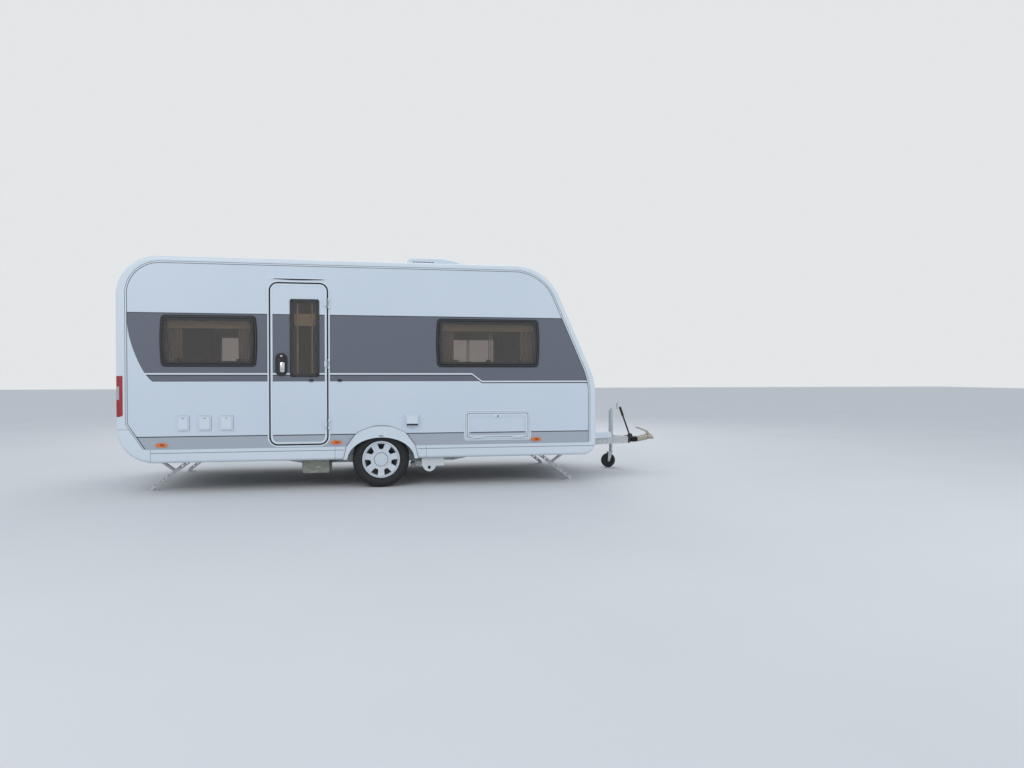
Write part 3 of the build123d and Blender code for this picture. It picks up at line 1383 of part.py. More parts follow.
with BuildPart() as bracket:
    with BuildSketch(Plane.XY.offset(plate_z - 6)):
        with Locations(((nut_in_x - 34 + 28) / 2, 0)):
            Rectangle(62 - nut_in_x, 2 * cheek_y + 28)
    extrude(amount=6)
    for side in (-1, 1):
        with BuildSketch(Plane.XZ.offset(side * (cheek_y + leg_wall / 2) - leg_wall / 2)):
            with Locations(((nut_in_x + nut_x) / 2, (plate_z - 18) / 2)):
                Rectangle(nut_x - nut_in_x + 48, plate_z + 18)
            with Locations(((nut_in_x + nut_x) / 2, 0)):
                SlotOverall(
                    nut_x - nut_in_x + 2 * (steady_pin + 2), 2 * (steady_pin + pin_clear),
                    mode=Mode.SUBTRACT,
                )
            with Locations((0, plate_z / 2)):
                Rectangle(44, plate_z)
            Circle(22)
        extrude(amount=leg_wall)
        with BuildSketch(Plane.XZ.offset(side * (strap_y + cheek_y) / 2 - (cheek_y - strap_y + 6) / 2)):
            Circle(steady_pin)
        extrude(amount=cheek_y - strap_y + 6)
    with BuildSketch(Plane.YZ.offset(nut_in_x - 28)):
        Rectangle(2 * (cheek_y + leg_wall), 36)
        with Locations((0, plate_z / 2)):
            Rectangle(2 * (cheek_y + leg_wall), plate_z)
    extrude(amount=4)
    with BuildSketch(Plane.YZ.offset(nut_in_x - 34)):
        Circle(spindle_radius)
    extrude(amount=76 - nut_in_x)
    with BuildSketch(Plane.YZ.offset(26)):
        with Locations((0, plate_z / 2 - 6)):
            Rectangle(2 * (cheek_y + leg_wall), plate_z + 12)
    extrude(amount=4)

strut_plane = Plane(
    (0, 0, 0), x_dir=(-cos(steady_slope), 0, -sin(steady_slope)), z_dir=(0, -1, 0)
)
with BuildPart() as strut_part:
    for side in (-1, 1):
        with BuildSketch(strut_plane.offset(side * (strap_y + strap / 2) - strap / 2)):
            with Locations((strut_length / 2, 0)):
                SlotOverall(strut_length + 26, 26)
            with Locations((0, 0), (strut_length, 0)):
                Circle(steady_pin + pin_clear, mode=Mode.SUBTRACT)
        extrude(amount=strap)
    with BuildSketch(strut_plane.offset(-strap_y)):
        with Locations((strut_length / 2, 11)):
            Rectangle(strut_length - 90, 4)
    extrude(amount=2 * strap_y)

leg_plane = Plane(
    (nut_x, 0, 0), x_dir=(cos(steady_slope), 0, -sin(steady_slope)), z_dir=(0, -1, 0)
)
with BuildPart() as leg_part:
    with BuildSketch(leg_plane.offset(-leg_width / 2)):
        with Locations((leg_length / 2, 0)):
            SlotOverall(leg_length + leg_height, leg_height)
        with Locations((leg_length / 2, -leg_height / 4)):
            Rectangle(leg_length - 20, leg_height / 2)
    extrude(amount=leg_width)
    with BuildSketch(leg_plane.offset(-leg_width / 2 + leg_wall)):
        with Locations((leg_length / 2, leg_wall + 10)):
            Rectangle(leg_length + 100, leg_height + 20)
        with Locations((-20, 0)):
            Rectangle(60, 3 * leg_height)
    extrude(amount=leg_width - 2 * leg_wall, mode=Mode.SUBTRACT)
    with BuildSketch(leg_plane.offset(-leg_width)):
        for along in (70, 130, 190, 250, 410, 470, 530, 590):
            with Locations((along, 2)):
                SlotOverall(40, 18)
    extrude(amount=2 * leg_width, mode=Mode.SUBTRACT)
    for side in (-1, 1):
        with BuildSketch(leg_plane.offset(side * 35 - 12)):
            Circle(steady_pin)
        extrude(amount=24)
        with BuildSketch(leg_plane.offset(side * 18 - 9)):
            Circle(17)
        extrude(amount=18)
        with BuildSketch(leg_plane.offset(side * (leg_width / 2 + strap_y) / 2 - (leg_width / 2 - strap_y) / 2)):
            with Locations((strut_length, 0)):
                Circle(steady_pin)
        extrude(amount=leg_width / 2 - strap_y)
        with BuildSketch(Plane.XZ.offset(side * (leg_width / 2 - leg_wall - foot_cheek / 2) - foot_cheek / 2)):
            with Locations((foot_x, foot_z - 8)):
                Rectangle(40, 34)
        extrude(amount=foot_cheek)
    with BuildSketch(leg_plane.offset(-leg_width / 2)):
        with Locations((leg_length, 0)):
            Circle(steady_pin)
    extrude(amount=leg_width)
    with BuildSketch(Plane.XY.offset(-steady_pivot_z)):
        with Locations((foot_x - 14, 0)):
            RectangleRounded(118, 66, 12)
    extrude(amount=6)

# Name, place of the fixed pivot, mirrored fore and aft
front_pivot_x = front_foot_x - foot_x
rear_pivot_x = rear_foot_x + foot_x
steady_table = [
    ("front_left", front_pivot_x, steady_y, False),
    ("front_right", front_pivot_x, -steady_y, False),
    ("rear_left", rear_pivot_x, steady_y, True),
    ("rear_right", rear_pivot_x, -steady_y, True),
]


def placed(piece, x, y, turned):
    """Put a steady's piece in its corner."""
    if turned:
        piece = mirror(piece, Plane.YZ)
    return piece.moved(Location((x, y, steady_pivot_z)))


# Jockey wheel: stem that winds up and down, castor fork and wheel
jockey_tube_low_z = 395
jockey_tube_top_z = 800
jockey_crown_z = 225
stem_top_z = 620
kingpin_radius = 12
kingpin_length = 16
with BuildPart() as jockey_tube:
    with BuildSketch(Plane.XY.offset(jockey_tube_low_z)):
        with Locations((jockey_x, jockey_y)):
            Circle(jockey_tube_radius)
            Circle(jockey_stem_radius + 0.1, mode=Mode.SUBTRACT)
    extrude(amount=jockey_tube_top_z - jockey_tube_low_z)
    with BuildSketch(Plane.XY.offset(jockey_tube_top_z)):
        with Locations((jockey_x, jockey_y)):
            Circle(jockey_tube_radius + 2)
    extrude(amount=14)
    with BuildSketch(Plane.XY.offset(jockey_tube_top_z + 14)):
        with Locations((jockey_x, jockey_y)):
            Circle(8)
    extrude(amount=22)
    with BuildSketch(Plane.XY.offset(jockey_tube_top_z + 26)):
        with Locations((jockey_x + 45, jockey_y)):
            SlotOverall(120, 22)
    extrude(amount=10)
    with BuildSketch(Plane.XY.offset(jockey_tube_top_z + 36)):
        with Locations((jockey_x + 94, jockey_y)):
            Circle(12)
    extrude(amount=80)

with BuildPart() as jockey_stem:
    with BuildSketch(Plane.XY.offset(jockey_crown_z + fit)):
        with Locations((jockey_x, jockey_y)):
            Circle(jockey_stem_radius)
    extrude(amount=stem_top_z - jockey_crown_z - fit)
    with BuildSketch(Plane.XY.offset(jockey_crown_z - kingpin_length)):
        with Locations((jockey_x, jockey_y)):
            Circle(kingpin_radius)
    extrude(amount=kingpin_length + fit)

jockey_axle_x = jockey_x - jockey_trail
jockey_wheel_half = 28
with BuildPart() as jockey_fork:
    with BuildSketch(Plane.XY.offset(jockey_crown_z - 12)):
        with Locations((jockey_x, jockey_y)):
            Circle(32)
        with Locations((jockey_x - 14, jockey_y)):
            RectangleRounded(70, 2 * jockey_wheel_half + 26, 10)
        with Locations((jockey_x, jockey_y)):
            Circle(kingpin_radius + 0.1, mode=Mode.SUBTRACT)
    extrude(amount=12)
    for side in (-1, 1):
        with BuildSketch(Plane.XZ.offset(-jockey_y + side * (jockey_wheel_half + 8) - 3)):
            with BuildLine():
                Polyline(
                    (jockey_x - 46, jockey_crown_z), (jockey_x + 16, jockey_crown_z),
                    (jockey_axle_x + 16, jockey_wheel_radius - 8),
                    (jockey_axle_x, jockey_wheel_radius - 18),
                    (jockey_axle_x - 16, jockey_wheel_radius - 8), close=True,
                )
            make_face()
        extrude(amount=6)
    with BuildSketch(Plane.XZ.offset(-jockey_y - jockey_wheel_half - 16)):
        with Locations((jockey_axle_x, jockey_wheel_radius)):
            Circle(7)
    extrude(amount=2 * jockey_wheel_half + 32)

with BuildPart() as jockey_wheel:
    with BuildSketch(Plane.XZ.offset(-jockey_y - jockey_wheel_half)):
        with Locations((jockey_axle_x, jockey_wheel_radius)):
            Circle(jockey_wheel_radius)
            Circle(7.1, mode=Mode.SUBTRACT)
    extrude(amount=2 * jockey_wheel_half)
    fillet(jockey_wheel.edges().filter_by(GeomType.CIRCLE).sort_by(lambda e: e.length)[-2:], 14)
    for side in (-1, 1):
        with BuildSketch(Plane.XZ.offset(-jockey_y + side * (jockey_wheel_half - 5) - 5)):
            with Locations((jockey_axle_x, jockey_wheel_radius)):
                Circle(62)
                Circle(24, mode=Mode.SUBTRACT)
        extrude(amount=10, mode=Mode.SUBTRACT)

# Write every piece
chassis_solids = [side_member(-1), side_member(1), drawbar_beam(-1), drawbar_beam(1)]
chassis_solids += [cross_member(x) for x in cross_members]
chassis_solids += [drawbar_ties.part, drawbar_block.part, jockey_clamp.part, jockey_tube.part]
chassis_solids += [placed(bracket.part, x, y, turned) for name, x, y, turned in steady_table]
save(Compound(chassis_solids), "chassis")
save(Compound(axle_solids), "axle")
save(drawbar_head.part, "drawbar_head")
save(coupling.part, "coupling")
save(drawbar_cover.part, "drawbar_cover")
save(floor.part, "floor")
save(wall_right.part, "wall_right")
save(wall_left.part, "wall_left")
save(roof.part, "roof")
save(front_wall.part, "front_wall")
save(rear_wall.part, "rear_wall")
save(rear_bumper.part, "rear_bumper")
save(edge_moulding_right.part, "edge_moulding_right")
save(edge_moulding_left, "edge_moulding_left")
save(skirt_right.part, "skirt_right")
save(skirt_left, "skirt_left")
save(wheel_box_right.part, "wheel_box_right")
save(wheel_box_left, "wheel_box_left")
save(panes_right, "windows_right")
save(panes_left, "windows_left")
save(pane_front, "window_front")
save(pane_rear, "window_rear")
save(opening_frames.part, "opening_frames")
save(rear_lamps, "rear_lamps")
save(marker_lamps.part, "marker_lamps")
save(grab_handles, "grab_handles")
save(roof_unit.part, "roof_unit")
save(mains_inlet.part, "mains_inlet")
save(service_covers.part, "service_covers")
save(motor_mover.part, "motor_mover")
save(underfloor_tank.part, "underfloor_tank")
save(gas_locker.part, "gas_locker")
save(lounge_bench.part, "lounge_bench")
save(lounge_cushions, "lounge_cushions")
save(lounge_table.part, "lounge_table")
save(kitchen_unit, "kitchen_unit")
save(washroom, "washroom")
save(bed_base.part, "bed_base")
save(mattress.part, "mattress")
save(door_leaf.part, "door_leaf")
save(door_window.part, "door_window")
save(door_handle.part, "door_handle")
save(service_hatch.part, "service_hatch")
save(gas_lid.part, "gas_lid")
save(roof_hatch.part, "roof_hatch")
save(jockey_stem.part, "jockey_stem")
save(jockey_fork.part, "jockey_fork")
save(jockey_wheel.part, "jockey_wheel")
for side, plane in wheel_places.items():
    save(tyre.part.moved(plane.location), "tyre_" + side)
    save(rim_part.part.moved(plane.location), "rim_" + side)
for name, x, y, turned in steady_table:
    save(placed(strut_part.part, x, y, turned), "steady_strut_" + name)
    save(placed(leg_part.part, x, y, turned), "steady_leg_" + name)
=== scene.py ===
import math

import bmesh
import bpy
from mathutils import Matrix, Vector, noise


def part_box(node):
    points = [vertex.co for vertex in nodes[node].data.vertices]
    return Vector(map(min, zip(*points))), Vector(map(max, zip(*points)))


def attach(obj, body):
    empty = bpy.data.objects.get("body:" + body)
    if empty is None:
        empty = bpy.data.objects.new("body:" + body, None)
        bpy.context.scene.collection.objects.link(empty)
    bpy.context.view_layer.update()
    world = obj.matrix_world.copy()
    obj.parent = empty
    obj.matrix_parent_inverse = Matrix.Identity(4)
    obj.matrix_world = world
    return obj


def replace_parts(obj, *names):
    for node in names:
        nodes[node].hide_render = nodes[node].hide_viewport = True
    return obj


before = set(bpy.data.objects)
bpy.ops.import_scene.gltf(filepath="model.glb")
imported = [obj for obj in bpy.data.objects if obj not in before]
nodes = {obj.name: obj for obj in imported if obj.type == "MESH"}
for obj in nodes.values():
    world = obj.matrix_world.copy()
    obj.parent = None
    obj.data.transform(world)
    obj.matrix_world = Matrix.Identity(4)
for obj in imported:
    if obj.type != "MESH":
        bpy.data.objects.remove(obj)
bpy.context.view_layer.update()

# Sizes that repeat the solids
wall_y = 1.146
rear_x, front_x, roof_z = -3.310, 2.120, 2.620
# The ends' and the roof's skins lie this far inside the outline
end_skin = 0.003
skirt_low_z, wall_low_z = 0.340, 0.490
rear_radius, rear_low_radius = 0.440, 0.390
front_radius, front_low_radius, front_arc_x = 0.600, 0.160, 1.109
slope_degrees = 66
front_slope = math.radians(slope_degrees)
nose_blend = 0.180
axle_x, wheel_z, wheel_y = -0.470, 0.327, 1.000
# Inboard of this depth the wheel cover is painted dark grey: the steel of the wheel, and painted shade on the
# floors of the cover's openings
dark_inboard_depth = 0.0715
roller_x, roller_z, roller_radius = -0.098, 0.255, 0.0290
rooflight = (-2.350, 0.0)
# Door and service hatch: along, up, length, height, corner radius
door = (-1.386, 1.4375, 0.618, 1.815, 0.080)
hatch = (0.900, 0.715, 0.730, 0.276, 0.018)
# Windows: name, face, along, up, length, height
windows = [
    ("rear_right", "right", -2.348, 1.690, 1.016, 0.563),
    ("front_right", "right", 0.787, 1.689, 1.232, 0.561),
    ("rear_left", "left", 2.348, 1.690, 1.016, 0.563),
    ("front_left", "left", -0.787, 1.689, 1.232, 0.561),
    ("rear", "rear", 0.0, 1.700, 1.250, 0.540),
    ("front", "front", 0.0, 0.0, 1.420, 0.560),
]


# Materials
def linear(code):
    """Hex sRGB to the linear colour that a shader takes."""
    parts = [int(code[i:i + 2], 16) / 255 for i in (0, 2, 4)]
    return tuple(c / 12.92 if c <= 0.04045 else ((c + 0.055) / 1.055) ** 2.4 for c in parts) + (1,)


def feed(tree, node, *inputs, **named):
    """Fill a node's sockets in order, then by name. A node given stands for its first output in use."""
    wanted = list(enumerate(inputs)) + [(key.replace("_", " "), value) for key, value in named.items()]
    for key, value in wanted:
        if isinstance(value, bpy.types.Node):
            value = next(socket for socket in value.outputs if socket.enabled)
        if isinstance(value, bpy.types.NodeSocket):
            tree.links.new(value, node.inputs[key])
        else:
            node.inputs[key].default_value = value
    return node


def put(tree, kind, *inputs, **named):
    """Add one node. Names in small letters are its properties, and the others its sockets."""
    node = tree.nodes.new("ShaderNode" + kind)
    for key in [key for key in named if key.islower()]:
        setattr(node, key, named.pop(key))
    return feed(tree, node, *inputs, **named)


# Blender's wave texture repeats after this length at a scale of 1
wave_mm = 100 * math.pi


def finish_of(name):
    """A new material: its tree, its shader, and the place in the row frame in metres."""
    made = bpy.data.materials.new(name)
    made.use_nodes = True
    tree = made.node_tree
    return made, tree, tree.nodes["Principled BSDF"], put(tree, "TexCoord").outputs["Object"]


def surface(name, code, rough, grain_mm, bump, metal=0.0, second=None, spread=0.06, patches=1.7, **shader):
    """Plain finish: a colour that may drift to a second one in so many patches a metre, a roughness that
    spreads about its middle, and a fine grain."""
    made, tree, base, place = finish_of(name)
    colour = linear(code)
    if second:
        drift = put(tree, "TexNoise", Vector=place, Scale=patches, Detail=3.0)
        colour = put(tree, "Mix", drift, data_type="RGBA", A=colour, B=linear(second))
    fine = put(tree, "TexNoise", Vector=place, Scale=1000 / grain_mm, Detail=2.0)
    feed(
        tree, base, Base_Color=colour, Metallic=metal, **shader,
        Roughness=put(tree, "MapRange", fine, 0.3, 0.7, rough - spread, rough + spread),
        Normal=put(tree, "Bump", Strength=bump, Distance=grain_mm / 2000, Height=fine),
    )
    return made


def overlaid(made, table, layers):
    """Paint masks over a finish. Rows of name, operation and inputs work them out from the place."""
    tree = made.node_tree
    base = tree.nodes["Principled BSDF"]
    axes = put(tree, "SeparateXYZ", put(tree, "TexCoord").outputs["Object"])
    masks = {axis: axes.outputs[axis.upper()] for axis in "xyz"}
    for name, operation, *inputs in table:
        chosen = [masks[i] if isinstance(i, str) else i for i in inputs]
        masks[name] = put(tree, "Math", *chosen, operation=operation)
    under = base.inputs["Base Color"]
    colour = under.links[0].from_socket if under.links else tuple(under.default_value)
    for mask, code in layers:
        colour = put(tree, "Mix", masks[mask], data_type="RGBA", A=colour, B=linear(code))
    feed(tree, base, Base_Color=colour)
    return masks


def reach_rows(x, z):
    """Rows for the squared distance from a line across the caravan."""
    return [
        ("from_line", "SUBTRACT", "x", x),
        ("over_line", "SUBTRACT", "z", z),
        ("across_squared", "MULTIPLY", "from_line", "from_line"),
        ("reach_squared", "MULTIPLY_ADD", "over_line", "over_line", "across_squared"),
    ]


# Painted aluminium sheet: coil-coated, so smooth and glossy, with faint waves 0.4 m long and an orange
# peel of 2.4 mm. Film stripes lie on it, a little duller than the paint
band_top, band_low, band_rear = 1.995, 1.239, -3.196
stripe_z, stripe_drop, stripe_x, stripe_run = 1.325, 0.090, 0.590, 0.120
sill_line_z = 0.631
# Hinge knuckles where they cross the door's gap: painted near black as shade, so that the gap's dark line
# runs on over them
hinge_gap_shade_rows = [
    ("aside", "ABSOLUTE", "y"),
    ("pin_line", "COMPARE", "x", -1.0715, 0.0055),
    ("pin_out", "GREATER_THAN", "aside", wall_y + 0.012),
    ("pin", "MULTIPLY", "pin_line", "pin_out"),
]
painted_sheet, tree, base, place = finish_of("painted_aluminium_sheet")
drift = put(tree, "TexNoise", Vector=place, Scale=0.9, Detail=4.0)
feed(tree, base, Base_Color=put(tree, "Mix", drift, data_type="RGBA", A=linear("D4DEE8"), B=linear("CCD7E2")))
masks = overlaid(painted_sheet, hinge_gap_shade_rows + [
    ("from_top", "SUBTRACT", band_top, "z"),
    ("squared", "MULTIPLY", "from_top", "from_top"),
    ("bent", "MULTIPLY_ADD", "squared", 0.406, band_rear),
    ("share", "DIVIDE", "from_top", band_top - band_low),
    ("near_corner", "POWER", "share", 16.0),
    ("curve", "MULTIPLY_ADD", "near_corner", 0.030, "bent"),
    ("outer", "GREATER_THAN", "aside", wall_y - 0.012),
    ("past_curve", "GREATER_THAN", "x", "curve"),
    ("ahead", "MULTIPLY", "past_curve", "outer"),
    ("under_top", "LESS_THAN", "z", band_top),
    ("over_low", "GREATER_THAN", "z", band_low),
    ("between", "MULTIPLY", "under_top", "over_low"),
    ("band", "MULTIPLY", "between", "ahead"),
    ("jog", "SUBTRACT", "x", stripe_x),
    ("jog_share", "DIVIDE", "jog", stripe_run),
    ("jog_low", "MAXIMUM", "jog_share", 0.0),
    ("jog_clamped", "MINIMUM", "jog_low", 1.0),
    ("line_z", "MULTIPLY_ADD", "jog_clamped", -stripe_drop, stripe_z),
    ("off_line", "SUBTRACT", "z", "line_z"),
    ("white_line", "COMPARE", "off_line", 0.0, 0.0085),
    ("white_stripe", "MULTIPLY", "white_line", "ahead"),
    ("dark_line", "COMPARE", "off_line", -0.0145, 0.0060),
    ("dark_stripe", "MULTIPLY", "dark_line", "ahead"),
    ("top_line", "COMPARE", "z", band_top, 0.005),
    ("top_stripe", "MULTIPLY", "top_line", "ahead"),
    ("sill", "LESS_THAN", "z", sill_line_z),
    ("sill_line", "COMPARE", "z", sill_line_z, 0.0055),
    ("proud", "GREATER_THAN", "aside", wall_y + 0.0055),
    ("inner", "SUBTRACT", 1.0, "outer"),
], [
    ("sill", "A9B0BA"), ("band", "616672"), ("dark_stripe", "23262C"), ("top_stripe", "33373F"),
    ("white_stripe", "DDE4EB"), ("sill_line", "2C3036"), ("proud", "D8E0E8"), ("inner", "D6CEBF"),
    ("pin", "1B1D20"),
])
wave = put(tree, "TexNoise", Vector=place, Scale=2.6, Detail=1.0)
peel = put(tree, "TexNoise", Vector=place, Scale=420.0, Detail=1.0)
soft = put(tree, "Bump", Strength=0.25, Distance=0.004, Height=wave)
feed(
    tree, base, Coat_Weight=0.35, Coat_Roughness=0.08,
    Roughness=put(tree, "MapRange", masks["band"], 0.0, 1.0, 0.24, 0.36),
    Normal=put(tree, "Bump", Strength=0.05, Distance=0.0006, Height=peel, Normal=soft),
)

# Moulded ABS: faint orange peel and a softer gloss than the sheet. The grey and the black are duller
abs_white = surface("moulded_abs_white", "DAE3EB", 0.30, 3.0, 0.05, second="D2DCE5", Coat_Weight=0.2)
abs_grey = surface("moulded_abs_grey", "9AA0A8", 0.42, 2.0, 0.12, second="8F959D")
abs_black = surface("moulded_abs_black", "1B1C1F", 0.42, 1.2, 0.15, second="242529")
# Skirt trim: the same white ABS, with a groove along it and sunk joints between its lengths. The groove is
# drawn as a dark grey line of painted shade, the joints as dark grey lines
skirt_joint_x, groove_z = -2.960, 0.451
skirt_trim = surface("grooved_abs_skirt", "DAE3EB", 0.30, 3.03, 0.05, second="D2DCE5", Coat_Weight=0.2)
masks = overlaid(skirt_trim, [
    ("from_axle", "SUBTRACT", "x", axle_x),
    ("off_arch", "ABSOLUTE", "from_axle"),
    ("clear_of_arch", "GREATER_THAN", "off_arch", 0.425),
    ("before_corner", "GREATER_THAN", "x", skirt_joint_x),
    ("groove_line", "COMPARE", "z", groove_z, 0.0028),
    ("groove_part", "MULTIPLY", "groove_line", "clear_of_arch"),
    ("groove", "MULTIPLY", "groove_part", "before_corner"),
    ("low", "LESS_THAN", "z", wall_low_z),
    ("end_joint", "COMPARE", "off_arch", 0.520, 0.0018),
    ("rear_joint", "COMPARE", "x", skirt_joint_x, 0.0018),
    ("joints", "MAXIMUM", "end_joint", "rear_joint"),
    ("low_joints", "MULTIPLY", "joints", "low"),
    ("corner_line", "COMPARE", "z", 0.715, 0.0018),
    ("rearward", "LESS_THAN", "x", -3.170),
    ("corner_joint", "MULTIPLY", "corner_line", "rearward"),
    ("some", "MAXIMUM", "groove", "low_joints"),
    ("lines", "MAXIMUM", "some", "corner_joint"),
], [("lines", "5A626C")])
tree = skirt_trim.node_tree
relief = tree.nodes["Principled BSDF"].inputs["Normal"].links[0].from_node
sunk = put(tree, "Bump", invert=True, Strength=0.6, Distance=0.003, Height=masks["lines"])
feed(tree, relief, Normal=sunk)

# Gelcoat on glass fibre: pale and slightly chalky from weather, duller in places
roof_gelcoat = surface("gelcoat_roof", "D9E0E7", 0.36, 4.0, 0.06, second="CFD7DE", spread=0.10)
# EPDM seal: matt black rubber that hardly shines
seal_rubber = surface("epdm_seal", "16171A", 0.62, 1.0, 0.2, second="202226")
# Edges of the panes: black with a deep gloss. Rib of their frames: glossy black plastic, painted dark grey as
# a highlight
frame_gloss = surface("gloss_black_frame", "15171A", 0.16, 2.0, 0.03, second="1C1E22", Coat_Weight=0.6)
rib_highlight_finish = surface("painted_highlight_rib", "454A52", 0.24, 2.0, 0.03, second="3C4148", Coat_Weight=0.6)
# Inner frames and linings: moulded cream plastic with a low, even gloss
frame_cream = surface("moulded_cream_frame", "D8D1C1", 0.40, 2.0, 0.05, second="CFC7B5")
# Rails of the screens: painted zinc castings, pale grey and satin
hinge_grey = surface("zinc_die_cast_painted", "C9CED3", 0.35, 2.0, 0.08)
# Hot-dip galvanised steel: zinc crystals of about 15 mm, dull grey where it weathered
galvanised, tree, base, place = finish_of("galvanised_steel")
cells = put(tree, "TexVoronoi", feature="F1", Vector=place, Scale=1 / 0.015)
spangle = put(tree, "ValToRGB", cells.outputs["Color"])
spangle.color_ramp.elements[0].color = linear("B1B6B9")
spangle.color_ramp.elements[1].color = linear("D3D7D9")
dull = put(tree, "TexNoise", Vector=place, Scale=14.0, Detail=4.0)
feed(
    tree, base, Base_Color=spangle, Metallic=0.5,
    Roughness=put(tree, "MapRange", dull, 0.3, 0.7, 0.36, 0.58),
    Normal=put(tree, "Bump", Strength=0.15, Distance=0.0008, Height=cells.outputs["Distance"]),
)
# Drawbar head: painted iron casting, dark and uneven from the sand mould
cast_black = surface("painted_iron_casting", "2A2B2D", 0.5, 3.5, 0.5, metal=0.2, second="35302C")
# Chrome: a near mirror. Zinc plate: a yellowish metal that blurs what it mirrors
chrome = surface("chrome_plate", "D5D7DA", 0.10, 6.0, 0.02, metal=1.0, spread=0.03)
plated = surface("zinc_plated_steel", "B4B2A8", 0.32, 5.0, 0.05, metal=1.0, second="A39F90")
# Road tyre: carbon black rubber, dull, greyish where dust lies
tyre_rubber = surface("tyre_rubber", "1C1D20", 0.72, 2.5, 0.3, second="2A2B2D", spread=0.12)
# Wheel cover: silver-white paint with a slight sparkle and two fine dark rings. Inboard of a depth it is dark
# grey: the steel of the wheel behind it, and painted shade on the floors of the cover's openings
cover_silver = surface(
    "painted_wheel_cover", "D8DFE6", 0.34, 2.0, 0.04, metal=0.15, second="CDD5DD", patches=12.0,
)
overlaid(cover_silver, reach_rows(axle_x, wheel_z) + [
    ("aside", "ABSOLUTE", "y"),
    ("inboard", "LESS_THAN", "aside", wheel_y + dark_inboard_depth),
    ("reach", "SQRT", "reach_squared"),
    ("ring", "COMPARE", "reach", 0.078, 0.0026),
    ("rim_ring", "COMPARE", "reach", 0.196, 0.0015),
    ("rings", "MAXIMUM", "ring", "rim_ring"),
    ("dark", "MAXIMUM", "inboard", "rings"),
], [("dark", "3A3D42")])
# Sink: brushed stainless steel, grey with a broad soft highlight
sink_steel = surface("brushed_sink_steel", "6E7173", 0.30, 3.0, 0.1, metal=0.9, second="626567")
# Wheel boxes: pressed polythene sheet, black and dull; the black also paints the shade inside the wheel
# arches
liner_black = surface("polythene_wheel_box", "1E2023", 0.6, 3.0, 0.15, second="26292C")
# Waste water tank: foil over wadding, metallic, with dents 45 mm apart
foil_quilt = surface("foil_quilted_cover", "9B9C93", 0.38, 45.0, 0.9, metal=0.6, second="7F817A")
# Floor board: plywood under a brown coat, rough and dull
ply_board = surface("coated_floor_board", "4B4640", 0.6, 6.0, 0.2, second="3E3A35")
# Motor mover: white powder coat with a fine texture, bare grey roller
mover_white = surface("powder_coated_white", "D9DDDF", 0.40, 1.5, 0.12, second="CDD1D3")
overlaid(mover_white, reach_rows(roller_x, roller_z) + [
    ("roller", "LESS_THAN", "reach_squared", roller_radius ** 2),
], [("roller", "6C7075")])


def tinted(name, code, weight):
    """Cast acrylic: clear through, coloured in the mass, a little haze, faintly bowed over 0.6 m."""
    made, tree, base, place = finish_of(name)
    haze = put(tree, "TexNoise", Vector=place, Scale=9.0, Detail=3.0)
    bow = put(tree, "TexNoise", Vector=place, Scale=1.6, Detail=1.0)
    feed(
        tree, base, Base_Color=linear(code), Transmission_Weight=weight, IOR=1.49,
        Roughness=put(tree, "MapRange", haze, 0.3, 0.7, 0.04, 0.07),
        Normal=put(tree, "Bump", Strength=0.3, Distance=0.01, Height=bow),
    )
    return made


# Panes: smoked acrylic that darkens the inside. Rooflight: opal acrylic, milky and glossy
window_acrylic = tinted("smoked_acrylic", "BAB4B1", 0.95)
door_acrylic = tinted("smoked_acrylic_door", "C4BCB7", 0.96)
rooflight_acrylic = surface("opal_acrylic", "DFE5EA", 0.20, 5.0, 0.02, second="D7DEE4", Coat_Weight=0.5)


def lens(name, code, dark, clear=0.15):
    """Lamp lens: glossy polycarbonate with flutes 12 mm apart, coarser than real ones, so that they show."""
    made, tree, base, place = finish_of(name)
    bands = put(tree, "TexWave", bands_direction="Z", Vector=place, Scale=26.0, Distortion=0.0)
    flutes = bands.outputs["Fac"]
    feed(
        tree, base, Roughness=0.12, Coat_Weight=0.8, Transmission_Weight=clear,
        Base_Color=put(tree, "Mix", flutes, data_type="RGBA", A=linear(code), B=linear(dark)),
        Normal=put(tree, "Bump", Strength=0.3, Distance=0.002, Height=flutes),
    )
    return made


lens_red = lens("red_lens", "B3101F", "6E0712")
lens_amber = lens("amber_reflector", "A5480F", "7A300A")
lens_orange = lens("orange_lens", "FF8A1E", "E2680C")
# Rear lamps: the same lens in red, pale over the indicator and the reversing lamp
lamp_zone = lens("rear_lamp_lens", "C0172A", "8A0B1B", clear=0.0)
overlaid(lamp_zone, [
    ("field", "COMPARE", "z", 1.115, 0.073),
    ("rearward", "LESS_THAN", "x", -3.272),
    ("clear", "MULTIPLY", "field", "rearward"),
    ("off_field", "SUBTRACT", 1.0, "field"),
    ("dark", "MULTIPLY", "off_field", "rearward"),
], [("clear", "A9ABB2"), ("dark", "94131F")])


def board(name, code, dark, squeeze):
    """Foil-faced furniture board: satin, with grain 10 mm wide and 80 mm long, squeezed along one axis."""
    made, tree, base, place = finish_of(name)
    stretch = put(tree, "Mapping", Vector=place, Scale=squeeze)
    grain = put(tree, "TexNoise", Vector=stretch, Scale=12.0, Detail=6.0, Distortion=0.6)
    feed(
        tree, base, Roughness=0.42,
        Base_Color=put(tree, "Mix", grain, data_type="RGBA", A=linear(code), B=linear(dark)),
        Normal=put(tree, "Bump", Strength=0.08, Distance=0.001, Height=grain),
    )
    return made


walnut_board = board("walnut_foil_board", "8A6444", "5E4029", (1.0, 1.0, 8.0))
walnut_front = board("walnut_foil_front", "A07A58", "7A573B", (1.0, 1.0, 8.0))
pale_board = board("pale_laminate", "CFC4B2", "BDB09B", (8.0, 1.0, 1.0))


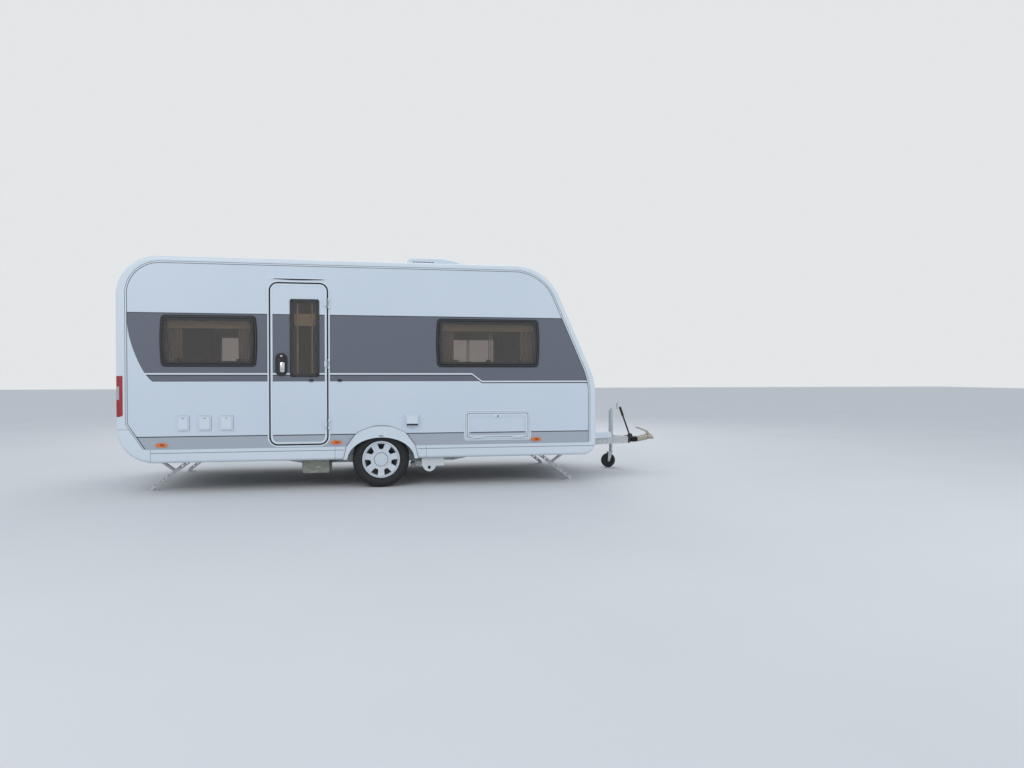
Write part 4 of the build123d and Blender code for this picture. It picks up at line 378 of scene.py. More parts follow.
def cloth(name, code, dark, pitch_mm, sheen=0.4):
    """Woven cloth: matt, with soft sheen. The threads cross at right angles and are drawn at a pitch that is
    coarser than the real one, so that they show through the panes."""
    made, tree, base, place = finish_of(name)
    weave = [
        put(
            tree, "TexWave", bands_direction=way, Vector=place, Scale=wave_mm / pitch_mm, Distortion=1.2,
            Detail=1.0,
        ).outputs["Fac"] for way in "XYZ"
    ]
    level = put(tree, "Math", weave[0], weave[1], operation="MAXIMUM")
    crossed = put(tree, "Math", level, weave[2], operation="MULTIPLY")
    feed(
        tree, base, Roughness=0.88, Sheen_Weight=sheen,
        Base_Color=put(tree, "Mix", crossed, data_type="RGBA", A=linear(dark), B=linear(code)),
        Normal=put(tree, "Bump", Strength=0.35, Distance=0.0008, Height=crossed),
    )
    return made


seat_cloth = cloth("woven_seat_cloth", "A79A88", "8C7F6D", 25.13)
piping_cloth = cloth("piping_cloth", "6F655A", "5C534A", 12.57)
mattress_cloth = cloth("mattress_ticking", "D8D4CA", "C5C0B4", 31.42)
blind_cloth = cloth("pleated_blind_cloth", "F3E6C8", "E5D3AC", 12.57, 0.2)
curtain_cloth = cloth("curtain_voile", "C9BBA9", "B2A18D", 18.85, 0.3)

# Frames of the openings: moulded plastic with a fine grain, black round the windows and white elsewhere. The
# hinge knuckles at the door's gap are painted near black, as painted shade of the gap
frame_plastic = surface("moulded_frame_plastic", "DAE3EB", 0.33, 1.667, 0.08, spread=0.05)
overlaid(frame_plastic, hinge_gap_shade_rows + [
    ("middle", "COMPARE", "z", 1.75, 0.45),
    ("door_x", "COMPARE", "x", door[0], 0.42),
    ("door_y", "LESS_THAN", "y", -1.0),
    ("door_side", "MULTIPLY", "door_x", "door_y"),
    ("elsewhere", "SUBTRACT", 1.0, "door_side"),
    ("framed", "MULTIPLY", "middle", "elsewhere"),
    ("catch_z", "COMPARE", "z", 1.250, 0.020),
    ("catch_x", "COMPARE", "x", -0.935, 0.030),
    ("catch", "MULTIPLY", "catch_z", "catch_x"),
    ("either", "MAXIMUM", "framed", "catch"),
    ("black", "MAXIMUM", "either", "pin"),
    ("flush", "GREATER_THAN", "y", -wall_y - 0.001),
    ("under_line", "LESS_THAN", "z", 0.560),
    ("sill_part", "MULTIPLY", "flush", "under_line"),
    ("sill", "MULTIPLY", "sill_part", "door_side"),
], [("black", "121316"), ("sill", "A9B0BA")])

steady_parts = [
    part + corner for part in ("steady_strut_", "steady_leg_")
    for corner in ("front_left", "front_right", "rear_left", "rear_right")
]
finish_table = {
    painted_sheet: ["wall_right", "wall_left", "door_leaf", "service_hatch"],
    abs_white: [
        "rear_wall", "front_wall", "drawbar_cover", "gas_lid", "grab_handles", "mains_inlet",
        "service_covers", "roof_unit",
    ],
    skirt_trim: ["skirt_right", "skirt_left", "edge_moulding_right", "edge_moulding_left", "rear_bumper"],
    roof_gelcoat: ["roof"],
    rooflight_acrylic: ["roof_hatch"],
    frame_plastic: ["opening_frames"],
    window_acrylic: ["windows_right", "windows_left", "window_front", "window_rear"],
    door_acrylic: ["door_window"],
    abs_black: ["door_handle"],
    lamp_zone: ["rear_lamps"],
    lens_orange: ["marker_lamps"],
    galvanised: ["chassis", "axle", "jockey_stem", "jockey_fork"] + steady_parts,
    cast_black: ["drawbar_head"],
    plated: ["coupling"],
    mover_white: ["motor_mover"],
    foil_quilt: ["underfloor_tank"],
    ply_board: ["floor"],
    liner_black: ["wheel_box_right", "wheel_box_left"],
    walnut_board: ["gas_locker", "lounge_bench", "kitchen_unit", "washroom", "bed_base"],
    pale_board: ["lounge_table"],
    cover_silver: ["rim_right", "rim_left"],
    seal_rubber: ["jockey_wheel"],
}
for finish, names in finish_table.items():
    for name in names:
        nodes[name].data.materials.clear()
        nodes[name].data.materials.append(finish)


# Looks of the added pieces: slot and finish
rubber, rubber_grey = ("rubber", seal_rubber), ("rubber", abs_grey)
white, white_grey, cream = ("trim_white", abs_white), ("trim_white", abs_grey), ("trim_white", frame_cream)
black, gloss_black = ("black_plastic", abs_black), ("black_plastic", frame_gloss)
rib_highlight_look, chrome_lock = ("black_plastic", rib_highlight_finish), ("black_plastic", chrome)
chrome_sink, red = ("galvanised", chrome), ("lamp_red", lens_red)


# Pieces
def linked(name, data):
    """An object in the scene, at the origin."""
    made = bpy.data.objects.new(name, data)
    bpy.context.scene.collection.objects.link(made)
    return made


def piece(name, shape, look, body="root", sharp=40):
    """A shape, or a list of shapes as one mesh, on a body. Edges above an angle in degrees stay sharp."""
    corners, faces = [], []
    for some, quads in shape if isinstance(shape, list) else [shape]:
        base_at = len(corners)
        corners += [tuple(c) for c in some]
        faces += [tuple(i + base_at for i in quad) for quad in quads]
    mesh = bpy.data.meshes.new(name)
    mesh.from_pydata(corners, [], faces)
    tidy = bmesh.new()
    tidy.from_mesh(mesh)
    bmesh.ops.recalc_face_normals(tidy, faces=tidy.faces)
    tidy.to_mesh(mesh)
    tidy.free()
    mesh.polygons.foreach_set("use_smooth", [True] * len(mesh.polygons))
    mesh.set_sharp_from_angle(angle=math.radians(sharp))
    mesh.materials.append(look[1])
    made = linked(name, mesh)
    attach(made, body)
    return made


# Each face: where it lies, its two directions and the way out. The front window is on the slope
ahead, leftward, upward = Vector((1, 0, 0)), Vector((0, 1, 0)), Vector((0, 0, 1))
slope_out = Vector((math.sin(front_slope), 0, math.cos(front_slope)))
slope_up = Vector((-math.cos(front_slope), 0, math.sin(front_slope)))
slope_top_x = front_arc_x + front_radius * math.sin(front_slope)
slope_top_z = roof_z - front_radius * (1 - math.cos(front_slope))
slope_low_z = slope_top_z - (front_x - slope_top_x) * math.tan(front_slope)
front_window_share = 0.56
slope_at = front_window_share * (slope_top_z - slope_low_z) / math.sin(front_slope)
faces_of = {
    "right": (-wall_y * leftward, ahead, upward, -leftward),
    "left": (wall_y * leftward, -ahead, upward, leftward),
    "rear": ((rear_x + end_skin) * ahead, -leftward, upward, -ahead),
    "front": (
        Vector((front_x, 0, slope_low_z)) + slope_at * slope_up - end_skin * slope_out,
        leftward, slope_up, slope_out,
    ),
    "nose": ((front_x - end_skin) * ahead, leftward, upward, ahead),
    "roof": ((roof_z - end_skin) * upward, ahead, leftward, upward),
}


def on_face(face, along, up, out=0.0):
    """The point of a face at a place on it and a height above it."""
    origin, across, rise, way = faces_of[face]
    return origin + along * across + up * rise + out * way


def rounded(centre_a, centre_b, length, height, radius, steps=6):
    """Points of a rounded rectangle, each with its outward direction."""
    path = []
    for sa, sb, start in ((1, 1, 0), (-1, 1, 90), (-1, -1, 180), (1, -1, 270)):
        for step in range(steps + 1):
            turn = math.radians(start + 90 * step / steps)
            way = (math.cos(turn), math.sin(turn))
            path.append((
                (centre_a + sa * (length / 2 - radius) + radius * way[0],
                 centre_b + sb * (height / 2 - radius) + radius * way[1]), way,
            ))
    return path


def ringed(rings, count, closed):
    """Faces that join rings of so many corners, led on to the first ring or closed at both ends."""
    faces = []
    for row in range(rings if closed else rings - 1):
        here, after = row * count, (row + 1) % rings * count
        for side in range(count):
            other = (side + 1) % count
            faces.append((here + side, here + other, after + other, after + side))
    if not closed:
        faces.append(tuple(reversed(range(count))))
        faces.append(tuple((rings - 1) * count + side for side in range(count)))
    return faces


def sweep(face, path, section, closed=True):
    """A section (out along the face, up off it) led along a path, or along a rounded outline."""
    path = rounded(*path) if isinstance(path, tuple) else path
    corners = [
        on_face(face, a + aside * na, b + aside * nb, off)
        for (a, b), (na, nb) in path for aside, off in section
    ]
    return corners, ringed(len(path), len(section), closed)


def capped(face, path, levels):
    """A raised form: rings of a path or rounded outline at (out along the face, up off it), closed."""
    path = rounded(*path) if isinstance(path, tuple) else path
    corners = [
        on_face(face, a + aside * na, b + aside * nb, off)
        for aside, off in levels for (a, b), (na, nb) in path
    ]
    return corners, ringed(len(levels), len(path), False)


def button(low, high, edge=0.0015):
    """Levels of a low form with a broken edge."""
    return [(0, low), (0, high - edge), (-edge, high)]


def bead(width, low, high, aside=0.0, sides=5):
    """A half-round section."""
    section = [(aside - width / 2, low)]
    for step in range(sides + 1):
        turn = math.pi * step / sides
        section.append((aside - width / 2 * math.cos(turn), low + 0.001 + (high - low) * math.sin(turn)))
    section.append((aside + width / 2, low))
    return section


def plate(width, low, high, aside=0.0, edge=0.0012):
    """A flat section with broken edges."""
    a, b = aside - width / 2, aside + width / 2
    return [(a, low), (a, high - edge), (a + edge, high), (b - edge, high), (b, high - edge), (b, low)]


def tube(points, radius, closed=True, sides=8):
    """A round bead led along points in space."""
    corners, count, oblique = [], len(points), Vector((0.31, 0.17, 0.94))
    for i, at in enumerate(points):
        before = points[i - 1] if closed or i else at
        after = points[(i + 1) % count] if closed or i + 1 < count else at
        run = (after - before).normalized()
        across = run.cross(oblique).normalized()
        rise = run.cross(across)
        for side in range(sides):
            turn = 2 * math.pi * side / sides
            corners.append(at + radius * (math.cos(turn) * across + math.sin(turn) * rise))
    return corners, ringed(count, sides, closed)


def with_sides(points, closed):
    """Points in a line or a loop, each with the direction across it."""
    path = []
    for i, at in enumerate(points):
        before = points[i - 1] if closed or i else at
        after = points[(i + 1) % len(points)] if closed or i + 1 < len(points) else at
        run = Vector((after[0] - before[0], after[1] - before[1]))
        run = run.normalized() if run.length > 1e-6 else Vector((1, 0))
        path.append((at, (-run[1], run[0])))
    return path


def along_line(points, spacing=0.05):
    """A line of points filled in at a spacing, each with the direction across it."""
    filled = []
    for before, after in zip(points, points[1:]):
        count = max(1, int(math.dist(before, after) / spacing))
        filled += [tuple(b + (a - b) * step / count for a, b in zip(after, before)) for step in range(count)]
    return with_sides(filled + [points[-1]], False)


def bowed(window, inset, corner=0.040, bow=0.016, steps=5, end_steps=8):
    """Points of a window's outline moved in by an inset: rounded corners, and ends bowed out."""
    along, up, length, height = window
    half_a, half_b = length / 2 - inset, height / 2 - inset
    corner = max(corner - inset, 0.008)
    sweep_radius = (half_b ** 2 + bow ** 2) / (2 * bow)
    centre_a = half_a - sweep_radius
    corner_a = centre_a + math.sqrt((sweep_radius - corner) ** 2 - (half_b - corner) ** 2)
    lean = math.asin((half_b - corner) / (sweep_radius - corner))
    quarter = [lean + (math.pi / 2 - lean) * step / steps for step in range(steps + 1)]
    end = [-lean + 2 * lean * step / end_steps for step in range(1, end_steps)]
    path = []
    for sign_a, sign_b in ((1, 1), (-1, 1), (-1, -1), (1, -1)):
        centre = (along + sign_a * corner_a, up + sign_b * (half_b - corner))
        for turn in quarter[::sign_a * sign_b]:
            way = (sign_a * math.cos(turn), sign_b * math.sin(turn))
            path.append(((centre[0] + corner * way[0], centre[1] + corner * way[1]), way))
        if sign_a * sign_b < 0:
            for turn in end:
                way = (sign_a * math.cos(turn), sign_b * -math.sin(turn))
                at = (along + sign_a * centre_a + sweep_radius * way[0], up + sweep_radius * way[1])
                path.append((at, way))
    return path


def body_path(rear_in, top_in, front_in, steps=14):
    """The body's outline seen from the side, moved in, as points with outward directions."""
    rear, top, front = rear_x + rear_in, roof_z - top_in, front_x - front_in
    low = skirt_low_z + min(top_in, front_in)
    rear_arc = rear_radius - (rear_in + top_in) / 2
    arc = front_radius - (front_in + top_in) / 2
    low_rear = rear_low_radius - rear_in
    low_front = max(front_low_radius - front_in, 0.02)
    slope_start = (front_arc_x + arc * math.sin(front_slope), top - arc + arc * math.cos(front_slope))
    kink_z = slope_start[1] - (front - slope_start[0]) * math.tan(front_slope)
    points = []

    def arc_points(cx, cz, radius, start, end, count=steps):
        for step in range(count + 1):
            turn = math.radians(start + (end - start) * step / count)
            points.append((cx + radius * math.sin(turn), cz + radius * math.cos(turn)))

    arc_points(rear + rear_arc, top - rear_arc, rear_arc, -90, 0)
    arc_points(front_arc_x, top - arc, arc, 0, slope_degrees)
    nose = nose_blend / math.tan(math.radians((90 - slope_degrees) / 2))
    arc_points(front - nose, kink_z - nose_blend, nose, slope_degrees, 90, 6)
    arc_points(front - low_front, low + low_front, low_front, 90, 180, 6)
    arc_points(rear + low_rear, low + low_rear, low_rear, 180, 270)
    return with_sides(points, True)


def grown(outline, by, rounder):
    """A door's or hatch's outline moved out by a distance, its corner radius larger by another."""
    along, up, length, height, radius = outline
    return along, up, length + 2 * by, height + 2 * by, radius + rounder


# Door and service hatch: rubber on the frames, thin edge on the leaves, grey line round the hatch's frame.
# The door's inner rubber bead sits at the front of the gap and paints its shade; the hatch's line is painted
# shade of a groove in its frame
door_frame_path = (*grown(door, 0.008, 0.008), 10)
piece("door_seal", sweep("right", door_frame_path, plate(0.010, 0.0045, 0.0068, 0.0035)), rubber)
piece("door_gap_seal", sweep("right", door_frame_path, bead(0.009, -0.020, 0.000, -0.0035)), rubber)
piece("door_edge_frame", sweep("right", (*door, 10), plate(0.022, 0.003, 0.0065, -0.0125)), white, "door")
hatch_edge = sweep("right", hatch, plate(0.020, 0.003, 0.0065, -0.0115))
piece("hatch_edge_frame", hatch_edge, white, "service_hatch")
hatch_groove_shade = sweep("right", grown(hatch, 0.025, 0.004), bead(0.0045, 0.0025, 0.0042))
piece("hatch_groove_shade_line", hatch_groove_shade, rubber_grey)
hatch_rubber = sweep("right", grown(hatch, 0.006, 0.006), bead(0.006, -0.018, -0.001, -0.001))
piece("hatch_seal", hatch_rubber, rubber_grey)

# Windows: name, distance inside the window's outline, section, look
window_rings = [
    ("window_bead_", -0.002, bead(0.006, -0.001, 0.005), rubber),
    # The rib's dark grey is a painted highlight on black plastic
    ("window_rib_", 0.013, bead(0.007, 0.0075, 0.0105), rib_highlight_look),
    ("window_seal_", 0.0270, bead(0.005, 0.006, 0.0125), rubber),
    ("window_border_", 0.0445, plate(0.029, 0.0210, 0.0224, edge=0.0006), gloss_black),
    ("window_inner_frame_", 0.030, plate(0.050, -0.047, -0.0345), cream),
]
for name, side, *window in windows:
    for part, inset, section, look in window_rings:
        piece(part + name, sweep(side, bowed(window, inset), section), look)

# Black lines along the edge moulding, painted shade: one in the gap where the moulding meets the wall, one in
# a groove of the moulding. They run up the broad lower rear corner, over the roof and down the front
corner_top_z, corner_reach = 0.775, 0.292
moulding_rear, moulding_top, moulding_front = 0.115, 0.072, 0.095
inner = [at for at, _ in body_path(moulding_rear, moulding_top, moulding_front)]
rising = [at for at in inner if at[1] > 1.2]
first = rising.index(min(rising, key=lambda at: (at[0], at[1])))
crown = rising[first:] + rising[:first]
foot_z = wall_low_z + 0.012
moulding_line = (
    [(rear_x + corner_reach, foot_z), (rear_x + moulding_rear, corner_top_z)] + crown
    + [(front_x - moulding_front, slope_low_z - 0.10), (front_x - moulding_front, foot_z)]
)
for side, turned in (("right", 1), ("left", -1)):
    path = along_line([(turned * x, z) for x, z in moulding_line])
    if turned < 0:
        path = [(at, (-way[0], -way[1])) for at, way in path]
    piece("moulding_gap_shade_" + side, sweep(side, path, bead(0.007, -0.001, 0.003, -0.001), False), rubber)
    piece("moulding_groove_shade_" + side, sweep(side, path, bead(0.004, 0.002, 0.0055, 0.016), False), rubber)

# Door: black edge of the pane, blind and its rails behind it, lever and lock
glass = (-1.322, 1.7315, 0.324, 0.883)
pane_path = (*glass, 0.024)
pane_border = sweep("right", pane_path, plate(0.030, 0.0126, 0.0142, -0.0215))
blind_frame = sweep("right", pane_path, plate(0.030, -0.042, -0.0300, -0.020))
piece("door_window_border", pane_border, gloss_black, "door")
piece("door_blind_frame", blind_frame, cream, "door")
blind_rail = (glass[1], 0.016, glass[3] - 0.080, 0.003)
lock = (-1.576, 1.527)
piece("door_blind_rail_rear", capped("right", (-1.402, *blind_rail), button(-0.046, -0.0425)), cream, "door")
piece("door_blind_rail_front", capped("right", (-1.242, *blind_rail), button(-0.046, -0.0425)), cream, "door")
piece(
    "door_lever_well", capped("right", (-1.576, 1.418, 0.082, 0.176, 0.030), button(0.0125, 0.0145)),
    gloss_black, "door",
)
piece("door_lever", capped("right", (-1.564, 1.400, 0.048, 0.112, 0.014), [
    (-0.002, 0.0265), (0, 0.0285), (0, 0.031), (-0.004, 0.0335),
]), chrome_lock, "door")
piece("door_lock", capped("right", (*lock, 0.024, 0.024, 0.0119), button(0.012, 0.0175)), chrome_lock, "door")
piece(
    "door_keyhole", capped("right", (*lock, 0.003, 0.010, 0.0012, 3), button(0.0172, 0.0179, 0.0003)),
    ("black_plastic", seal_rubber), "door",
)

# Service hatch: oval lock plate and its lock
piece(
    "hatch_lock_plate", capped("right", (0.900, 0.823, 0.098, 0.042, 0.0205), button(0.003, 0.0115, 0.003)),
    white, "service_hatch",
)
piece(
    "hatch_lock", capped("right", (0.900, 0.823, 0.020, 0.020, 0.0099), button(0.0113, 0.0135)),
    black, "service_hatch",
)

# Small covers: two recess lines and a latch each, and louvres in the two of the fridge.
# Face, along, up, length, height, corner radius
fridge_x, fridge_vents = 1.000, (1.130, 1.960)
cover_table = [
    ("right", -2.622, 0.779, 0.130, 0.163, 0.014), ("right", -2.396, 0.779, 0.136, 0.163, 0.014),
    ("right", -2.167, 0.779, 0.142, 0.163, 0.014), ("left", fridge_x, fridge_vents[0], 0.420, 0.240, 0.016),
    ("left", fridge_x, fridge_vents[1], 0.420, 0.240, 0.016), ("left", -0.140, 0.790, 0.330, 0.350, 0.024),
    ("left", -0.760, 0.745, 0.760, 0.340, 0.030),
]
lines, latches = [], []
for side, along, up, length, height, radius in cover_table:
    recess = (along, up, length - 0.024, height - 0.024, radius)
    latch = (along, up + height / 2 - 0.030, 0.026, 0.009, 0.004, 3)
    lines.append(sweep(side, recess, bead(0.0024, 0.0118, 0.0127)))
    lines.append(sweep(side, (along, up, length, height, radius), bead(0.0024, -0.0005, 0.0010, 0.001)))
    latches.append(capped(side, latch, button(0.0165, 0.0195)))
louvre = button(0.0165, 0.0180, 0.0005)
vent_slots = [
    capped("left", (fridge_x, middle + 0.030 * i - 0.070, 0.340, 0.011, 0.005, 3), louvre)
    for middle in fridge_vents for i in range(5)
]
piece("fridge_vent_slots", vent_slots, ("grey_plastic", abs_grey))
piece("cover_lines", lines, white_grey)
piece("cover_latches", latches, white_grey)

# Marker lamps: darker reflector behind each lens
markers = [
    capped(side, (sign * along + 0.008, 0.540, 0.046, 0.020, 0.0098), button(0.0105, 0.0118, 0.0005))
    for along in (-2.846, -0.977, 1.366) for side, sign in (("right", 1), ("left", -1))
]
piece("marker_reflectors", markers, ("lamp_orange", lens_amber))

# Painted shadow under the rain gutter over the door: a black strip on the wall, thickest at its middle
shadow_half, shadow_top_z, shadow_thin, shadow_thick = 0.292, 2.4004, 0.0015, 0.0125
shadow_outline = [((door[0] + shadow_half * (i / 12 - 1), shadow_top_z), (0, 1)) for i in range(1, 24)]
for (along, _), _ in shadow_outline[::-1]:
    drop = shadow_thick * (1 - ((along - door[0]) / shadow_half) ** 2)
    shadow_outline.append(((along, shadow_top_z - shadow_thin - drop), (0, -1)))
piece("gutter_shadow", capped("right", shadow_outline, [(0, -0.0005), (0, 0.0050)]), rubber)

# Roof unit: shell with a full rounded nose over the solid, slots high in its sides
quarter = [math.radians(15 * i) for i in range(7)]
unit_back, unit_low, unit_top, unit_corner = -0.093, 2.600, 2.8130, 0.022
unit_outline = [(unit_back, unit_low)]
unit_outline += [
    (unit_back + unit_corner * (1 - math.cos(t)), unit_top - unit_corner * (1 - math.sin(t))) for t in quarter
]
unit_outline += [
    (0.200, unit_top), (0.270, 2.8125), (0.335, 2.8095), (0.402, 2.8015), (0.465, 2.7895), (0.525, 2.7735),
    (0.585, 2.7520), (0.640, 2.7245), (0.694, 2.6900), (0.738, 2.6500), (0.770, unit_low),
]
shoulder, near_side, far_side = 0.020, -0.8655, -1.4265
unit_levels = [(shoulder * (math.sin(t) - 1), far_side + shoulder * (1 - math.cos(t))) for t in quarter]
unit_levels += [(shoulder * (math.cos(t) - 1), near_side - shoulder * (1 - math.sin(t))) for t in quarter]
unit_shell = capped("right", along_line(unit_outline, 1.0), unit_levels)
piece("roof_unit_shell", unit_shell, white)
slot_cut = button(-0.8670, -0.8645, 0.0005)
slots = [
    capped(side, (sign * (-0.045 + 0.034 * i), 2.762, 0.024, 0.011, 0.004, 2), slot_cut)
    for i in range(8) for side, sign in (("right", 1), ("left", -1))
]
piece("roof_unit_slots", slots, black)

# Rooflight: two ridges of its dome. Mains inlet: a black strip under its flap, painted shadow of the gap
# there
ridge = bead(0.012, 0.0760, 0.0800)
ridges = [sweep("roof", (*rooflight, size, size, 0.040), ridge) for size in (0.400, 0.300)]
piece("rooflight_ridges", ridges, ("trim_white", rooflight_acrylic), "roof_hatch")
piece(
    "mains_inlet_shadow", capped("right", (-0.114, 0.737, 0.130, 0.020, 0.004, 3), button(0.040, 0.0504)),
    black,
)

# Wheel arches: black rubber bead on the round curve, from the middle out, which paints the shade of the
# trim's edge, and slot at the crown
half_arch = [
    (0.423, 0.352), (0.392, 0.490), (0.301, 0.616), (0.270, 0.645), (0.228, 0.669), (0.182, 0.690),
    (0.130, 0.708), (0.066, 0.7195),
]
arch_curve = [(-reach, height) for reach, height in half_arch] + [(0, 0.722)] + half_arch[::-1]
for side, turned in (("right", 1), ("left", -1)):
    along = turned * axle_x
    outline = [(along + reach, height) for reach, height in arch_curve]
    path = [(at, (-way[0], -way[1])) for at, way in along_line(outline)]
    arch_edge_shade = sweep(side, path, bead(0.006, -0.0005, 0.0125, -0.002), False)
    piece("arch_edge_shade_" + side, arch_edge_shade, rubber)
    arch_slot = capped(side, (along, 0.607, 0.050, 0.010, 0.004, 3), button(0.0095, 0.0112, 0.0004))
    piece("arch_slot_" + side, arch_slot, black)

# Windows: catches along the lower edge, stays at the ends, rails of the insect screens
for name, side, along, up, length, height in windows:
    catch_z, stay_reach = up - height / 2 + 0.072, length / 2 - 0.080
    fittings = [
        capped(side, (along + share * length, catch_z, 0.062, 0.022, 0.008, 3), button(-0.026, -0.004, 0.003))
        for share in (-0.31, 0.0, 0.31)
    ]
    fittings += [
        capped(side, (along + reach, up - 0.05, 0.010, 0.55 * height, 0.004, 3), button(-0.020, -0.011))
        for reach in (-stay_reach, stay_reach)
    ]
    piece("window_catches_" + name, fittings, black)
    if name.startswith("front_"):
        turned, rail = 1 if side == "right" else -1, button(-0.080, -0.070)
        rails = [
            capped(side, (along + turned * at, up - 0.008, 0.011, height - 0.130, 0.003, 3), rail)
            for at in (0.016, 0.042)
        ]
        piece("screen_rails_" + name, rails, ("trim_white", hinge_grey))

# Door and hatch from inside: liners, waste bin with the line of its lid, handle
bin_line = sweep("right", (door[0], 0.905, 0.384, 0.006, 0.0028), plate(0.003, -0.1215, -0.1000))
piece("door_liner", capped("right", (door[0], 0.905, 0.500, 0.640, 0.030), [
    (0, -0.0280), (-0.004, -0.0345), (-0.010, -0.0365),
]), cream, "door")
piece("door_bin", capped("right", (door[0], 0.800, 0.380, 0.330, 0.050), [
    (0, -0.0355), (0, -0.105), (-0.006, -0.116), (-0.018, -0.121),
]), cream, "door")
piece("door_bin_line", bin_line, white_grey, "door")
piece("door_inner_handle", capped("right", (-1.602, 1.400, 0.050, 0.150, 0.020), [
    (0, -0.0280), (0, -0.0400), (-0.006, -0.0460),
]), black, "door")
piece("hatch_liner", capped("right", (*hatch[:2], 0.640, 0.190, 0.020), [
    (0, -0.0280), (-0.004, -0.0330), (-0.010, -0.0345),
]), cream, "service_hatch")

# Ends: seal and locks of the gas locker lid, lamps over the place of the plate, high brake lamp, and the
# two triangles that every trailer has
lid_path = (0, 0.795, 1.527, 0.477, 0.0635, 8)
piece("gas_lid_seal", sweep("nose", lid_path, bead(0.006, -0.018, -0.003)), rubber)
plate_lamps = [
    capped("rear", (across, 1.226, 0.074, 0.024, 0.010), [(0, -0.0005), (0, 0.014), (-0.005, 0.020)])
    for across in (-0.150, 0.150)
]
piece("plate_lamps", plate_lamps, black)
piece("high_brake_lamp", capped("rear", (0, 2.072, 0.360, 0.030, 0.013), [
    (0, -0.0005), (0, 0.010), (-0.005, 0.0155),
]), red)
lid_lock = button(0.0105, 0.0150)
locks = [capped("nose", (across, 0.630, 0.026, 0.026, 0.0129), lid_lock) for across in (-0.610, 0.610)]
piece("gas_lid_locks", locks, chrome_lock, "gas_lid")
triangles = []
for across in (-0.700, 0.700):
    tips = [(across - 0.075, 0.590), (across + 0.075, 0.590), (across, 0.720)]
    path = [((a, b), ((a - across) / 0.09, (b - 0.633) / 0.09)) for a, b in tips]
    triangles.append(capped("rear", path, button(0.0028, 0.0100, 0.002)))
piece("rear_reflectors", triangles, red)

# Furniture: faces of the kitchen, the washroom and the wardrobe
kitchen_low, kitchen_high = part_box("kitchen_unit")
wash_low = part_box("washroom")[0]
wardrobe_y, wardrobe_x, wash_x = 0.552, -0.905, -0.175
faces_of["kitchen"] = (kitchen_high[1] * leftward, -ahead, upward, leftward)
faces_of["worktop"] = (kitchen_high[2] * upward, ahead, leftward, upward)
faces_of["washroom"] = (wash_low[1] * leftward, ahead, upward, -leftward)
faces_of["wardrobe"] = (wardrobe_y * leftward, ahead, upward, -leftward)
floor_top = kitchen_low[2]
kitchen_x = (kitchen_low[0] + kitchen_high[0]) / 2
kitchen_y = (kitchen_low[1] + kitchen_high[1]) / 2
# Fronts of the kitchen: middle off the unit's middle, lower edge over the floor, height with its gap
kitchen_fronts = [
    (-0.345, 0.09, 0.26), (-0.345, 0.35, 0.26), (-0.345, 0.61, 0.26), (0, 0.09, 0.78), (0.345, 0.09, 0.52),
    (0.345, 0.61, 0.26),
]
front_table = [
    ("kitchen", -kitchen_x + shift, floor_top + low + size / 2, 0.338, size - 0.006)
    for shift, low, size in kitchen_fronts
] + [
    ("washroom", wash_x, floor_top + 1.00, 0.600, 1.880),
    ("wardrobe", wardrobe_x, floor_top + 1.45, 0.640, 1.000),
    ("wardrobe", wardrobe_x, floor_top + 0.50, 0.640, 0.860),
]
highest_grip, door_height = floor_top + 1.08, 1.5
fronts, bars = [], []
for face, along, up, length, height in front_table:
    board_path = (along, up, length, height, 0.010, 3)
    grip_z = min(up + height / 2 - 0.040, highest_grip)
    grip_path = (along + 0.3 * (height > door_height) * length, grip_z, 0.140, 0.012, 0.005, 3)
    fronts.append(capped(face, board_path, [(0, 0.0002), (0, 0.0120), (-0.003, 0.0150)]))
    bars.append(capped(face, grip_path, [(0, 0.0145), (0, 0.030), (-0.003, 0.034)]))
piece("furniture_fronts", fronts, ("furniture", walnut_front))
piece("furniture_handles", bars, ("grey_plastic", chrome))

# Kitchen top: worktop, hob with three burners, sink with its tap
hob_x, sink_x, sink_y = kitchen_x - 0.240, kitchen_x + 0.250, kitchen_y - 0.010
piece("kitchen_worktop", capped("worktop", (kitchen_x, kitchen_y + 0.008, 1.076, 0.566, 0.012, 3), [
    (0, 0.0005), (0, 0.026), (-0.003, 0.029),
]), ("furniture", pale_board))
piece("hob_glass", capped("worktop", (hob_x, kitchen_y, 0.460, 0.400, 0.030), [
    (0, 0.0285), (-0.002, 0.0345),
]), gloss_black)
burners = [
    sweep("worktop", (hob_x + a, kitchen_y + b, size, size, size / 2 - 0.0002), bead(0.010, 0.034, 0.048))
    for a, b, size in ((-0.120, 0.080, 0.080), (0.110, 0.080, 0.110), (0.0, -0.100, 0.080))
]
piece("hob_burners", burners, ("black_plastic", cast_black))
sink_rim = sweep("worktop", (sink_x, sink_y, 0.380, 0.360, 0.060), [
    (0.004, 0.0290), (0.004, 0.0320), (-0.006, 0.0335), (-0.014, 0.0310), (-0.034, 0.0296), (-0.034, 0.0288),
])
piece("sink_rim", sink_rim, chrome_sink)
piece("sink_bowl", capped("worktop", (sink_x, sink_y, 0.314, 0.294, 0.040), [
    (0, 0.0288), (0, 0.0300),
]), ("galvanised", sink_steel))
tap_foot = Vector((sink_x + 0.150, kitchen_y - 0.215, kitchen_high[2] + 0.026))
spout = [tap_foot + Vector(off) for off in (
    (0, 0, 0), (0, 0, 0.12), (-0.008, 0.020, 0.17), (-0.022, 0.055, 0.195), (-0.038, 0.095, 0.190),
    (-0.044, 0.110, 0.165),
)]
piece("sink_tap", tube(spout, 0.010, False, 10), chrome_sink)

